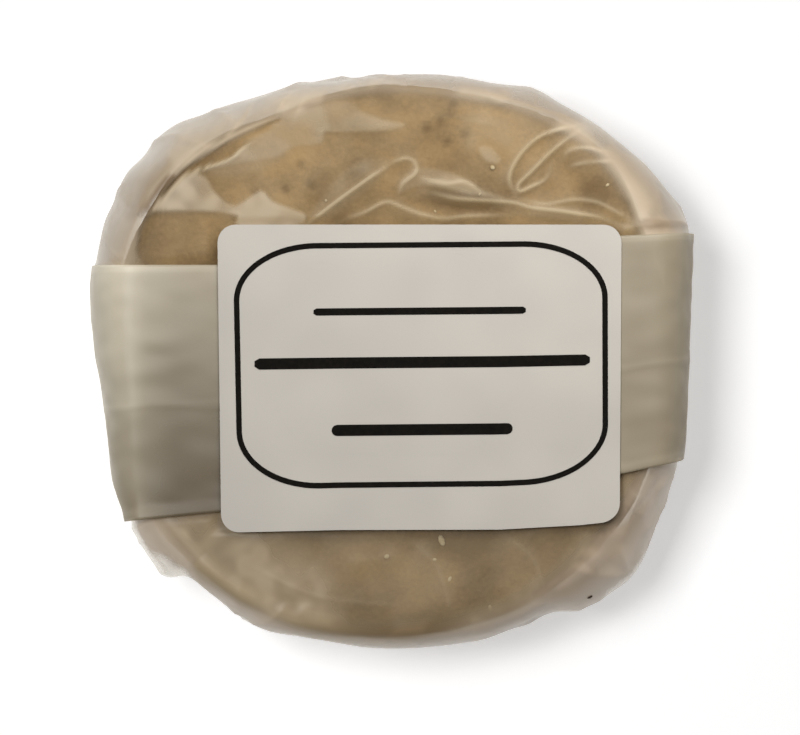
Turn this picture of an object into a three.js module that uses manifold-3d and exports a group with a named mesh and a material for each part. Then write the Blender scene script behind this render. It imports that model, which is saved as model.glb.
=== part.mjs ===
// A round sandwich biscuit (alfajor) in a clear film wrapper.
//
// The wrapper is folded like a parcel. Its two ends are brought over the top as one flat band,
// and a paper label holds them down. Millimetres, +Z up, the origin under the middle of the
// pack, on the surface that it stands on. +Y is the label's top edge.

import * as THREE from "three";
import { mergeVertices } from "three/addons/utils/BufferGeometryUtils.js";
import Module from "manifold-3d";

const wasm = await Module();
wasm.setup();

// ---- Driving dimensions ----

// The biscuit's edge from above, anticlockwise. It is soft dough, so not quite round.
const BISCUIT_OUTLINE = [
  [36, -2], [31.2, 20], [20.5, 30.8], [2.5, 34.9], [-12.5, 32.2], [-24.2, 26.6], [-32, 16.8],
  [-35.5, -2], [-30, -20.5], [-16.2, -32.2], [1.6, -35.3], [18.3, -30.7], [30.4, -18.5],
];
const BISCUIT_STEPS = 240; // straight steps that its edge is worked out in

const PACK_HEIGHT = 23.8; // from the surface to the film over the middle of the biscuit
const LID_DROP = 0.7; // how far the film on top has sunk at the biscuit's edge

const SHOULDER = 2.6; // the film leaves the top this far inside the biscuit's edge
const FOOT = 1.8; // and it leaves the surface this far inside the edge
const WAIST = 10.5; // height of the pack's widest line

// The wall's section is a superellipse. Its power is high where the film is tight or held by
// the band, and low where the film hangs loose like a tent.
const LOOSE_POWER = 1.55;
const TIGHT_POWER = 4.4;
const TIGHT_MARGIN = 3; // the film counts as loose when it stands this far off the biscuit
const BAND_POWER = 3;

// The wrapper's outline from above, anticlockwise: four ears and the slack film between them.
const OUTLINE = [
  [37.2, -11.6], [37.7, -4], [37.9, 5], [38.2, 13.5], // right, behind the band
  [38.1, 17.7], [36, 20.8], [33.4, 24.1], [30.5, 27.3], // upper right ear
  [25.9, 30.7], [21.8, 33], [18.4, 35], [13.5, 35.7],
  [6.5, 36.6], [-1.7, 36.3], [-9, 35.8], [-14.6, 34.7], // back
  [-19.2, 33.3], [-23.3, 31.6], [-27.1, 30.5], [-30, 28.6], // upper left ear
  [-31.8, 26.3], [-34, 24], [-35.4, 20.5], [-36.8, 17.6],
  [-37.6, 13.8], [-38.2, 9], [-37.7, 2], [-36.7, -4], // left, behind the band
  [-36, -9.6], [-35.3, -15.5], [-33.6, -19.7], [-32.5, -23],
  [-30.5, -26], [-28.4, -27.7], [-25.5, -27.7], [-22.4, -29.7], // lower left ear and its notch
  [-19.5, -32.1], [-16.2, -34.5], [-10.5, -35.4], [-4, -36.5], // front, tight
  [4, -36.5], [11.5, -35.9], [16.4, -34], [20.6, -32.4],
  [24.6, -31.9], [28, -30.2], [31.2, -27.8], [33.1, -24.6], // lower right ear
  [34.8, -19.6], [36.3, -15.4],
];

// The band's two edges at four places along it, the outer two of them beyond the pack.
const BAND_X = [-45, -21.9, 29.5, 45];
const BAND_EDGES = { top: [12, 12, 15.7, 16.5], bottom: [-21.4, -19.1, -14.2, -10.7] };
const BAND_ENDS = 2.6; // height where it tucks in under the pack
const BAND_THICK = 0.35;

const LABEL = { x: 3.7, y: -2, width: 50.8, height: 38.1, corner: 2.3, thick: 0.25 };

const GAP = 0.3; // between touching pieces

// Ridges of slack film on the top, each a line of points, a height and a half width.
const FOLDS = [
  { line: [[-14, 30.6], [-26, 25], [-31.4, 19.6]], high: 0.9, wide: 1.3 }, // double fold
  { line: [[-18, 27.3], [-25, 23.6], [-30.2, 19.2]], high: 0.7, wide: 1.2 },
  { line: [[-12.5, 18.4], [-6, 22.6], [-0.6, 26]], high: 1, wide: 1.6 }, // long diagonal
  { line: [[-0.6, 26], [-1.2, 22.4], [4.6, 21], [14.6, 19.9]], high: 0.7, wide: 1.3 },
  { line: [[14.6, 19.9], [23.5, 18.9], [30.4, 16.4]], high: 0.8, wide: 1.3 }, // to the band
  { line: [[23.6, 29.3], [17.8, 27], [15.2, 23], [16.6, 20.4]], high: 0.8, wide: 1.3 },
  { line: [[28.4, 26.4], [24, 27], [20.5, 25.4], [16.4, 21.6]], high: 0.6, wide: 1.2 },
  { line: [[24, -24.4], [19.4, -29.4]], high: 0.7, wide: 1.4 }, // lower right ear
  { line: [[-31, -17], [-27, -24.5], [-22, -28.5]], high: 0.7, wide: 1.4 }, // lower left ear
];
const FOLD_CLEARANCE = 1.2; // they die away this close to the label and the band

// Tucks in the wall beside the band: an angle, a depth and a half width.
const TUCKS = [
  { degrees: 29, deep: 0.8, wide: 3 },
  { degrees: 151, deep: 0.7, wide: 4 },
  { degrees: 214, deep: 0.8, wide: 4 },
  { degrees: 236, deep: 0.6, wide: 4 },
  { degrees: 303, deep: 0.7, wide: 4 },
  { degrees: 337, deep: 0.8, wide: 3 },
];

// How finely the film is divided.
const COLUMNS = 120;
const BASE_ROWS = 2;
const FOOT_ROWS = 6;
const WALL_ROWS = 9;
const LID_ROWS = { film: 12, band: 4 }; // in the ring of the top that has folds
const LID_CORE = 0.45; // the share of the top's radius inside that ring, under the label

// ---- The wrapper's form ----

function closedCurve(points) {
  const places = points.map(([x, y]) => new THREE.Vector3(x, y, 0));
  return new THREE.CatmullRomCurve3(places, true, "catmullrom", 0.5);
}

const outlineCurve = closedCurve(OUTLINE);
const biscuitEdge = closedCurve(BISCUIT_OUTLINE).getPoints(BISCUIT_STEPS);

// 0 in the middle and 1 on the biscuit's edge. Each straight step of the edge lies on a line,
// and the farthest out that a point is beside any of those lines counts.
function shareOfBiscuit(x, y) {
  let share = 0;
  for (let i = 0; i < BISCUIT_STEPS; i++) {
    const [a, b] = [biscuitEdge[i], biscuitEdge[i + 1]];
    const [dx, dy] = [b.x - a.x, b.y - a.y];
    share = Math.max(share, (x * dy - y * dx) / (a.x * dy - a.y * dx));
  }
  return share;
}

// The film's height over a point of the biscuit's top.
function lidHeight(x, y) {
  return PACK_HEIGHT - LID_DROP * Math.min(shareOfBiscuit(x, y), 1.1) ** 4;
}

// The band's top or bottom edge at x, straight between two of its places.
function bandEdge(side, x) {
  const last = BAND_X.length - 2;
  const i = Math.min(Math.max(BAND_X.findLastIndex((place) => place <= x), 0), last);
  const share = (x - BAND_X[i]) / (BAND_X[i + 1] - BAND_X[i]);
  return THREE.MathUtils.lerp(BAND_EDGES[side][i], BAND_EDGES[side][i + 1], share);
}

// How far a point lies outside the band's width, negative inside it.
function outsideBand(x, y) {
  return Math.max(y - bandEdge("top", x), bandEdge("bottom", x) - y);
}

function outsideLabel(x, y) {
  return Math.max(
    Math.abs(x - LABEL.x) - LABEL.width / 2,
    Math.abs(y - LABEL.y) - LABEL.height / 2,
  );
}

function distanceToLine(x, y, line) {
  let nearest = Infinity;
  for (let i = 0; i + 1 < line.length; i++) {
    const [ax, ay] = line[i];
    const [bx, by] = line[i + 1];
    const [dx, dy] = [bx - ax, by - ay];
    const share = ((x - ax) * dx + (y - ay) * dy) / (dx * dx + dy * dy);
    const t = THREE.MathUtils.clamp(share, 0, 1);
    nearest = Math.min(nearest, Math.hypot(x - ax - t * dx, y - ay - t * dy));
  }
  return nearest;
}

// The folds' height at a point: each is a rounded ridge, and the highest one counts.
function foldHeight(x, y) {
  const free = Math.min(outsideBand(x, y), outsideLabel(x, y));
  const fade = THREE.MathUtils.smoothstep(free, 0, FOLD_CLEARANCE);
  let high = 0;
  for (const fold of FOLDS) {
    const off = distanceToLine(x, y, fold.line) / fold.wide;
    high = Math.max(high, fold.high * Math.exp(-off * off));
  }
  return high * fade;
}

function tuckDepth(direction) {
  const degrees = THREE.MathUtils.radToDeg(Math.atan2(direction.y, direction.x));
  let deep = 0;
  for (const tuck of TUCKS) {
    const off = THREE.MathUtils.euclideanModulo(degrees - tuck.degrees + 180, 360) - 180;
    deep += tuck.deep * Math.exp(-((off / tuck.wide) ** 2));
  }
  return deep;
}

// One column of the wrapper, from the middle of its underside to the middle of its top, as
// [distance from the axis, height]. offset grows the form outwards for what lies on it.
function packColumn(edge, offset, lidRows) {
  const reach = Math.hypot(edge.x, edge.y);
  const direction = { x: edge.x / reach, y: edge.y / reach };
  const biscuit = 1 / shareOfBiscuit(direction.x, direction.y);
  const shoulder = biscuit - SHOULDER;
  const foot = biscuit - FOOT;
  const waist = reach + offset;
  const held = 1 - THREE.MathUtils.smoothstep(outsideBand(edge.x, edge.y), -2, 3);
  const slack = Math.exp(-(reach - biscuit) / TIGHT_MARGIN);
  const loosePower = THREE.MathUtils.lerp(LOOSE_POWER, TIGHT_POWER, slack);
  const power = THREE.MathUtils.lerp(loosePower, BAND_POWER, held);
  const tuck = tuckDepth(direction);
  const [shoulderX, shoulderY] = [shoulder * direction.x, shoulder * direction.y];
  const top = lidHeight(shoulderX, shoulderY) + offset;

  const column = [];
  for (let i = 0; i < BASE_ROWS; i++) {
    column.push([(foot * i) / BASE_ROWS, -offset]);
  }
  for (let i = 0; i < FOOT_ROWS; i++) {
    const turn = (Math.PI / 2) * (1 - i / FOOT_ROWS);
    const out = Math.cos(turn) ** (2 / power);
    const down = Math.sin(turn) ** (2 / power);
    const r = foot + (waist - foot) * out;
    column.push([r - tuck * out * (1 - down), WAIST - (WAIST + offset) * down]);
  }
  for (let i = 0; i < WALL_ROWS; i++) {
    const turn = (Math.PI / 2) * (i / WALL_ROWS);
    const out = Math.cos(turn) ** (2 / power);
    const up = Math.sin(turn) ** (2 / power);
    const r = shoulder + (waist - shoulder) * out - tuck * out;
    const ridge = foldHeight(r * direction.x, r * direction.y) * up;
    column.push([r, WAIST + (top - WAIST) * up + ridge]);
  }
  for (let i = 0; i <= lidRows + 1; i++) {
    const r = i > lidRows ? 0 : shoulder * (1 - ((1 - LID_CORE) * i) / lidRows);
    const [x, y] = [r * direction.x, r * direction.y];
    column.push([r, lidHeight(x, y) + offset + foldHeight(x, y)]);
  }
  return column.map(([r, z]) => new THREE.Vector3(r * direction.x, r * direction.y, z));
}

// The whole closed form: a lathe of one column, then each column moved to its own place.
function packGeometry(offset, lidRows) {
  const columns = [];
  for (let i = 0; i <= COLUMNS; i++) {
    const edge = outlineCurve.getPointAt((i % COLUMNS) / COLUMNS);
    columns.push(packColumn(edge, offset, lidRows));
  }
  const section = columns[0].map((p) => new THREE.Vector2(Math.hypot(p.x, p.y), p.z));
  const geometry = new THREE.LatheGeometry(section, COLUMNS);
  const position = geometry.attributes.position;
  columns.forEach((column, i) => column.forEach((p, j) => {
    position.setXYZ(i * column.length + j, p.x, p.y, p.z);
  }));
  return geometry;
}

// ---- Joins and cuts ----

// The vertices merged and the flat triangles at the poles left out, as a cut needs them.
function weld(geometry) {
  const bare = geometry.clone();
  bare.deleteAttribute("normal");
  bare.deleteAttribute("uv");
  const welded = mergeVertices(bare, 1e-4);
  const index = welded.index.array;
  const kept = [];
  for (let i = 0; i < index.length; i += 3) {
    const [a, b, c] = [index[i], index[i + 1], index[i + 2]];
    if (a !== b && b !== c && c !== a) kept.push(a, b, c);
  }
  welded.setIndex(kept);
  return welded;
}

function toSolid(geometry) {
  const welded = weld(geometry);
  return new wasm.Manifold(new wasm.Mesh({
    numProp: 3,
    vertProperties: new Float32Array(welded.attributes.position.array),
    triVerts: new Uint32Array(welded.index.array),
  }));
}

function toGeometry(solid) {
  const mesh = solid.getMesh();
  const geometry = new THREE.BufferGeometry();
  geometry.setAttribute("position", new THREE.BufferAttribute(mesh.vertProperties, 3));
  geometry.setIndex(new THREE.BufferAttribute(mesh.triVerts, 1));
  geometry.computeVertexNormals();
  return geometry;
}

// ---- The pieces ----

// The band is the space between two grown copies of the pack, cut to the band's width.
function bandGeometry() {
  const bottom = BAND_X.map((x) => new THREE.Vector2(x, bandEdge("bottom", x)));
  const top = BAND_X.map((x) => new THREE.Vector2(x, bandEdge("top", x)));
  const width = new THREE.Shape([...bottom, ...top.reverse()]);
  const cutter = new THREE.ExtrudeGeometry(width, {
    depth: 2 * PACK_HEIGHT, bevelEnabled: false,
  });
  cutter.translate(0, 0, BAND_ENDS);
  const outer = toSolid(packGeometry(GAP + BAND_THICK, LID_ROWS.band));
  const inner = toSolid(packGeometry(GAP, LID_ROWS.band));
  return toGeometry(outer.subtract(inner).intersect(toSolid(cutter)));
}

// A sheet with round corners that follows the top of the pack. A box's grid is drawn in at the
// corners, from a square to a quarter disc.
function labelGeometry() {
  const { width, height, corner, thick } = LABEL;
  const geometry = new THREE.BoxGeometry(width, height, thick, 22, 16, 1);
  geometry.translate(LABEL.x, LABEL.y, 0);
  const position = geometry.attributes.position;
  const under = GAP + BAND_THICK + GAP;
  for (let i = 0; i < position.count; i++) {
    let [x, y] = [position.getX(i) - LABEL.x, position.getY(i) - LABEL.y];
    const [overX, overY] = [
      Math.abs(x) - (width / 2 - corner),
      Math.abs(y) - (height / 2 - corner),
    ];
    if (overX > 0 && overY > 0) {
      const drawIn = Math.max(overX, overY) / Math.hypot(overX, overY);
      x = Math.sign(x) * (width / 2 - corner + overX * drawIn);
      y = Math.sign(y) * (height / 2 - corner + overY * drawIn);
    }
    const upper = position.getZ(i) > 0 ? thick : 0;
    const [worldX, worldY] = [x + LABEL.x, y + LABEL.y];
    position.setXYZ(i, worldX, worldY, lidHeight(worldX, worldY) + under + upper);
  }
  geometry.computeVertexNormals();
  return geometry;
}

function piece(name, geometry, color, roughness) {
  const material = new THREE.MeshStandardMaterial({ color, roughness, metalness: 0 });
  const mesh = new THREE.Mesh(geometry, material);
  mesh.name = name;
  return mesh;
}

const wrappedAlfajor = new THREE.Group();
wrappedAlfajor.add(
  piece("wrapped_biscuit", packGeometry(0, LID_ROWS.film), "#a98f68", 0.35),
  piece("film_band", bandGeometry(), "#b5aa97", 0.4),
  piece("label", labelGeometry(), "#d6d0c5", 0.6),
);

export default wrappedAlfajor;
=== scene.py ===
# %% [markdown]
# # A sandwich biscuit in a clear wrapper
#
# An alfajor is two round maize starch biscuits with milk caramel between them. This one is
# wrapped like a parcel in thin clear film. The film's two ends are brought over the top as one
# flat milky band, and a paper label holds them down.
#
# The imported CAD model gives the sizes: three solids, called wrapped_biscuit, film_band and
# label. Each is replaced here by pieces that show what it is made of. We start with the frame.

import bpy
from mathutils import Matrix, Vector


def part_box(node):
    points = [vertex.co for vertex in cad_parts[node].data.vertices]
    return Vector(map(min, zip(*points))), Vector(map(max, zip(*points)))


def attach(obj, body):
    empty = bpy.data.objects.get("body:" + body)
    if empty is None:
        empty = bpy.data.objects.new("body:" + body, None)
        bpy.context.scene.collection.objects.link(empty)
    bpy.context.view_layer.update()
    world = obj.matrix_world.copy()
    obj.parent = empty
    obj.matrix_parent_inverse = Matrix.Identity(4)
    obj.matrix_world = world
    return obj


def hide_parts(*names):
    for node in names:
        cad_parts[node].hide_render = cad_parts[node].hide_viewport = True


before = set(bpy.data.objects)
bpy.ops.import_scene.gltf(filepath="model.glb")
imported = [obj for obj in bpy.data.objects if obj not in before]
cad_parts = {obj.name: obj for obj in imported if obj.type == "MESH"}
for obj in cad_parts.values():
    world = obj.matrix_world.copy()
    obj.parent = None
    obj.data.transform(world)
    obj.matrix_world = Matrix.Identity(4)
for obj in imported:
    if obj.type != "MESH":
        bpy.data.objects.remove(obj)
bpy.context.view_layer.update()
print("CAD nodes:", sorted(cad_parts))

# %% [markdown]
# ## Small tools
#
# Lengths below are millimetres, because that is how one thinks of a biscuit, and become metres
# only when a mesh is made. Colours are written as the usual sRGB hex values, and one function
# turns them into the linear values that Blender's shaders add up. A shader is a tree of nodes,
# and a second function adds a node with its settings and links.

import bpy
import numpy as np
from mathutils import Vector

MM = 0.001


def linear(hex_colour):
    """An sRGB hex colour as linear red, green, blue and an alpha of 1."""
    s = np.array([int(hex_colour[i : i + 2], 16) for i in (1, 3, 5)]) / 255
    rgb = np.where(s <= 0.04045, s / 12.92, ((s + 0.055) / 1.055) ** 2.4)
    return (*rgb, 1.0)


def add_node(tree, kind, sockets=(), stops=(), **settings):
    """Adds a node. settings go on the node; sockets maps an input to a value or to an output;
    stops are the places and hex colours of a colour ramp, in rising order."""
    node = tree.nodes.new(kind)
    for name, value in settings.items():
        setattr(node, name, value)
    for key, value in dict(sockets).items():
        if isinstance(value, bpy.types.NodeSocket):
            tree.links.new(value, node.inputs[key])
        else:
            node.inputs[key].default_value = value
    for _ in stops[2:]:
        node.color_ramp.elements.new(0.5)
    for i, (place, colour) in enumerate(stops):
        node.color_ramp.elements[i].position = place
        node.color_ramp.elements[i].color = linear(colour)
    return node


def new_material(name):
    """A material with an empty node tree, and that tree."""
    material = bpy.data.materials.new(name)
    material.use_nodes = True
    material.node_tree.nodes.clear()
    return material, material.node_tree


print("white is", linear("#ffffff")[:3], "in linear values")

# %% [markdown]
# Every surface is a grid of points, worked out by numpy in one go, so one helper turns any grid
# into faces. A grid whose columns close into rings still has a hole at each end. A second helper
# fills the holes with fans of triangles round one point each, so that the mesh is watertight.


# %% Tools for meshes
def smoothstep(x, low, high):
    """0 below low, 1 above high, and an S-shaped cubic 3t^2 - 2t^3 between."""
    t = np.clip((x - low) / (high - low), 0, 1)
    return t * t * (3 - 2 * t)


def grid_faces(rows, columns, wrap):
    """Four-sided faces of a rows x columns grid of points; wrap joins the last column to the
    first."""
    r, c = np.meshgrid(
        np.arange(rows - 1), np.arange(columns if wrap else columns - 1), indexing="ij"
    )
    here, beside = r * columns + c, r * columns + (c + 1) % columns
    return np.stack([here, beside, beside + columns, here + columns], -1).reshape(-1, 4)


def closed_ends(grid, low, high):
    """The points and faces of a grid of rings, closed by a point in the middle of each end."""
    rows, columns = grid.shape[:2]
    points = np.vstack([grid.reshape(-1, 3), low, high])
    ring = np.arange(columns)
    beside = (ring + 1) % columns
    top = (rows - 1) * columns
    low_end = np.stack([beside, ring, np.full(columns, rows * columns)], -1)
    high_end = np.stack([top + ring, top + beside, np.full(columns, rows * columns + 1)], -1)
    faces = grid_faces(rows, columns, wrap=True).tolist() + low_end.tolist() + high_end.tolist()
    return points, faces


def with_ends(values, low, high):
    """A grid's values and those of its two end points, in the order of closed_ends."""
    return np.concatenate([values.ravel(), [low, high]])


def make_piece(name, points, faces, material, values=None, smooth=True):
    """A mesh object from points in millimetres and faces, with named float values for each point.
    It sits at the origin, and its place is in its mesh."""
    mesh = bpy.data.meshes.new(name)
    mesh.from_pydata((points * MM).tolist(), [], [list(f) for f in faces])
    for key, value in (values or {}).items():
        attribute = mesh.attributes.new(key, "FLOAT", "POINT")
        attribute.data.foreach_set("value", value.astype(np.float32).ravel())
    if smooth:
        mesh.shade_smooth()
    mesh.update()
    mesh.materials.append(material)
    piece = bpy.data.objects.new(name, mesh)
    bpy.context.scene.collection.objects.link(piece)
    triangles = sum(len(f) - 2 for f in faces)
    print(f"{name}: {len(points)} points, {triangles} triangles")
    return piece


# %% [markdown]
# ## Waves for uneven surfaces
#
# Nothing baked or crumpled is even. Random texture images would need files, so unevenness is a
# sum of sine waves instead: a few dozen of them, in random directions but of nearly one length,
# add up to a smooth hilly surface whose hills have a known size. Seeded, it is the same each run.


# %% Waves
def waves(points, length, seed, count=36):
    """The sum of count sine waves of about one wavelength in random directions, each
    sin(2 pi k.p + phase), scaled so that its usual size is 1."""
    draw = np.random.default_rng(seed)
    points = np.asarray(points, float)
    aim = draw.normal(size=(count, points.shape[-1]))
    aim /= np.linalg.norm(aim, axis=1, keepdims=True)
    aim *= 2 * np.pi / (length * draw.uniform(0.7, 1.4, (count, 1)))
    phase = draw.uniform(0, 2 * np.pi, count)
    total = np.zeros(points.shape[:-1])
    for k, p in zip(aim, phase):
        total += np.sin(points @ k + p)
    return total * np.sqrt(2 / count)


sample = np.random.default_rng(1).uniform(0, 100, (5000, 3))
print("usual size of the waves:", round(float(waves(sample, 10, seed=1).std()), 2))

# %% [markdown]
# ## Driving dimensions
#
# These repeat the CAD source, so that each piece made here fits the solid that it stands for.

# %% Driving dimensions in millimetres
BISCUIT_OUTLINE = [
    (36, -2), (31.2, 20), (20.5, 30.8), (2.5, 34.9), (-12.5, 32.2), (-24.2, 26.6), (-32, 16.8),
    (-35.5, -2), (-30, -20.5), (-16.2, -32.2), (1.6, -35.3), (18.3, -30.7), (30.4, -18.5),
]
BISCUIT_RADIUS = 35.3  # its usual radius
PACK_HEIGHT = 23.8  # of the film over the middle of the biscuit
LID_DROP = 0.7  # how much lower the film lies at the biscuit's rim
SHOULDER = 2.6  # the wall begins this far inside the rim
FOOT = 1.8  # and the flat underside this far
WAIST = 10.5  # the height at which the pack is widest
LOOSE_POWER, TIGHT_POWER, BAND_POWER = 1.55, 4.4, 3.0  # how boxy the wall's section is
TIGHT_MARGIN = 3.0  # how fast it goes from tight to loose as the margin gets wider

OUTLINE = [
    (37.2, -11.6), (37.7, -4), (37.9, 5), (38.2, 13.5), (38.1, 17.7), (36, 20.8),
    (33.4, 24.1), (30.5, 27.3), (25.9, 30.7), (21.8, 33), (18.4, 35), (13.5, 35.7),
    (6.5, 36.6), (-1.7, 36.3), (-9, 35.8), (-14.6, 34.7), (-19.2, 33.3), (-23.3, 31.6),
    (-27.1, 30.5), (-30, 28.6), (-31.8, 26.3), (-34, 24), (-35.4, 20.5), (-36.8, 17.6),
    (-37.6, 13.8), (-38.2, 9), (-37.7, 2), (-36.7, -4), (-36, -9.6), (-35.3, -15.5),
    (-33.6, -19.7), (-32.5, -23), (-30.5, -26), (-28.4, -27.7), (-25.5, -27.7),
    (-22.4, -29.7), (-19.5, -32.1), (-16.2, -34.5), (-10.5, -35.4), (-4, -36.5),
    (4, -36.5), (11.5, -35.9), (16.4, -34), (20.6, -32.4), (24.6, -31.9), (28, -30.2),
    (31.2, -27.8), (33.1, -24.6), (34.8, -19.6), (36.3, -15.4),
]
BAND_X = (-45, -21.9, 29.5, 45)  # places along the band, and its two edges there
BAND_TOP = (12, 12, 15.7, 16.5)
BAND_BOTTOM = (-21.4, -19.1, -14.2, -10.7)
LABEL_X, LABEL_Y, LABEL_WIDTH, LABEL_HEIGHT, LABEL_CORNER = 3.7, -2.0, 50.8, 38.1, 2.3

label_low, label_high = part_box("label")
print("label node is", round((label_high.x - label_low.x) / MM, 1), "mm wide")

# %% [markdown]
# ## The wrapper's large form
#
# The film is one closed bag. Think of it as columns that start under the middle of the pack, run
# out to its edge, up the wall and back to the middle of the top. From above the edge is a smooth
# closed curve through a few points. The wall's section is a superellipse, the curve between a
# rounded box and a tent: boxy where the film is tight, tent-like where it stands off the biscuit.


# %% The edge, seen from above
def smooth_curve(points, closed, steps=24):
    """A curve through the points, steps to a span. Each span is the cubic that leaves a point in
    the direction from the point before it to the point after it (Catmull-Rom)."""
    p = np.array(points, float)
    if closed:
        ring = np.vstack([p[-1:], p, p[:2]])
    else:
        ring = np.vstack([2 * p[:1] - p[1:2], p, 2 * p[-1:] - p[-2:-1]])
    a, b, c, d = ring[:-3], ring[1:-2], ring[2:-1], ring[3:]
    t = np.linspace(0, 1, steps, endpoint=False)[None, :, None]
    leave, arrive = (c - a)[:, None] / 2, (d - b)[:, None] / 2
    b, c = b[:, None], c[:, None]
    curve = (
        (2 * t**3 - 3 * t**2 + 1) * b
        + (t**3 - 2 * t**2 + t) * leave
        + (-2 * t**3 + 3 * t**2) * c
        + (t**3 - t**2) * arrive
    ).reshape(-1, p.shape[1])
    return curve if closed else np.vstack([curve, p[-1:]])


def even_steps(curve, count, closed):
    """The curve cut into count points at equal distances along it."""
    path = np.vstack([curve, curve[:1]]) if closed else curve
    along = np.concatenate([[0], np.cumsum(np.linalg.norm(np.diff(path, axis=0), axis=1))])
    at = np.linspace(0, along[-1], count, endpoint=not closed)
    return np.stack([np.interp(at, along, path[:, i]) for i in range(path.shape[1])], 1)


edge_curve = smooth_curve(OUTLINE, closed=True)
biscuit_curve = smooth_curve(BISCUIT_OUTLINE, closed=True)

print("the pack is", np.ptp(edge_curve, axis=0).round(1), "mm across, without its band")
print("the biscuit is", np.ptp(biscuit_curve, axis=0).round(1), "mm across")

# %% [markdown]
# A few measures, seen from above, are needed again and again: how far a closed curve is from the
# middle in some direction, how high the film lies over the biscuit, and how far a point lies
# outside the band or the label.


# %% Measures from above
def reach_along(curve, x, y):
    """Distance from the middle to a closed curve, in the direction of a point."""
    angle = np.arctan2(curve[:, 1], curve[:, 0])
    order = np.argsort(angle)
    distance = np.linalg.norm(curve, axis=1)
    return np.interp(np.arctan2(y, x), angle[order], distance[order], period=2 * np.pi)


def lid_height(x, y):
    """The film's height over the biscuit's top: flat, then falling with the fourth power."""
    out = np.hypot(x, y) / reach_along(biscuit_curve, x, y)
    return PACK_HEIGHT - LID_DROP * np.minimum(out, 1.1) ** 4


def band_edge(edge, x):
    """The band's edge line at x, straight between its places."""
    return np.interp(x, BAND_X, edge)


def outside_band(x, y):
    """How far a point lies outside the band's width, negative inside."""
    return np.maximum(y - band_edge(BAND_TOP, x), band_edge(BAND_BOTTOM, x) - y)


def outside_label(x, y):
    """How far a point lies outside the label, negative inside."""
    return np.maximum(
        np.abs(x - LABEL_X) - LABEL_WIDTH / 2, np.abs(y - LABEL_Y) - LABEL_HEIGHT / 2
    )


print("the film lies", round(float(lid_height(0, 0)), 1), "mm high over the middle")

# %% [markdown]
# The rows go from the middle of the underside to the middle of the top, in five groups: base,
# foot, wall, the outer ring of the top, where the folds need many rows, and its plain core.

# %% The closed bag as rows and columns
FILM_COLUMNS = 820
BASE_ROWS, FOOT_ROWS, WALL_ROWS, RING_ROWS, CORE_ROWS = 3, 10, 24, 72, 6
RING_INNER = 14.5  # the folds are drawn finely out from here


def wrapper_form(columns):
    """The bag's points as an array of rows x columns x 3, with the section given above: from foot
    to waist and from waist to shoulder r and z follow |cos|^(2/p) and |sin|^(2/p)."""
    edge = even_steps(edge_curve, columns, closed=True)
    reach = np.linalg.norm(edge, axis=1)
    ux, uy = edge[:, 0] / reach, edge[:, 1] / reach
    biscuit = reach_along(biscuit_curve, ux, uy)
    shoulder, foot = biscuit - SHOULDER, biscuit - FOOT
    held = 1 - smoothstep(outside_band(edge[:, 0], edge[:, 1]), -2, 3)
    slack = np.exp(-(reach - biscuit) / TIGHT_MARGIN)
    power = LOOSE_POWER + (TIGHT_POWER - LOOSE_POWER) * slack
    power += (BAND_POWER - power) * held
    top = lid_height(shoulder * ux, shoulder * uy)

    base_r = foot * (np.arange(1, BASE_ROWS) / BASE_ROWS)[:, None]
    base_z = np.zeros_like(base_r)
    turn = (np.pi / 2) * (1 - np.arange(FOOT_ROWS) / FOOT_ROWS)[:, None]
    foot_r = foot + (reach - foot) * np.cos(turn) ** (2 / power)
    foot_z = WAIST * (1 - np.sin(turn) ** (2 / power))
    turn = (np.pi / 2) * (np.arange(WALL_ROWS) / WALL_ROWS)[:, None]
    wall_r = shoulder + (reach - shoulder) * np.cos(turn) ** (2 / power)
    wall_z = WAIST + (top - WAIST) * np.sin(turn) ** (2 / power)
    ring_r = shoulder + (RING_INNER - shoulder) * (np.arange(RING_ROWS) / RING_ROWS)[:, None]
    core_r = RING_INNER * (1 - np.arange(CORE_ROWS) / CORE_ROWS)[:, None] * np.ones(columns)
    lid_r = np.vstack([ring_r, core_r])
    lid_z = lid_height(lid_r * ux, lid_r * uy)
    r = np.vstack([base_r, foot_r, wall_r, lid_r])
    z = np.vstack([base_z, foot_z, wall_z, lid_z])
    return np.stack([r * ux, r * uy, z], -1)


def grid_normals(points):
    """Outward unit normals of a rows x columns grid that is closed round its columns."""
    along = np.roll(points, -1, 1) - np.roll(points, 1, 1)
    up = np.gradient(points, axis=0)
    normal = np.cross(along, up)
    return normal / np.maximum(np.linalg.norm(normal, axis=-1, keepdims=True), 1e-9)


film = wrapper_form(FILM_COLUMNS)
film_normal = grid_normals(film)
print("wrapper grid:", film.shape[:2], "highest point", film[..., 2].max(), "mm")

# %% [markdown]
# ## Slack film: folds and crumple
#
# Stiff thin film can't stretch, so its slack gathers in folds: a sharp crest, one flank that
# falls fast and one that slopes away slowly, as a tent does beside its ridge pole. Where the
# film lies on the biscuit it looks clear, and where air gets under it, it looks milky. So each
# fold gives two things: a height, and a milky look that grows with the height.
#
# The main folds are given one by one, as lines of points in millimetres. Many small ones, drawn at
# random, fill the rest.

# %% How a fold is drawn
CREST_WIDE = 0.26  # half width of the white line along a crest
TAPERED = 0.12  # a fold's ends keep this share of its height


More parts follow.
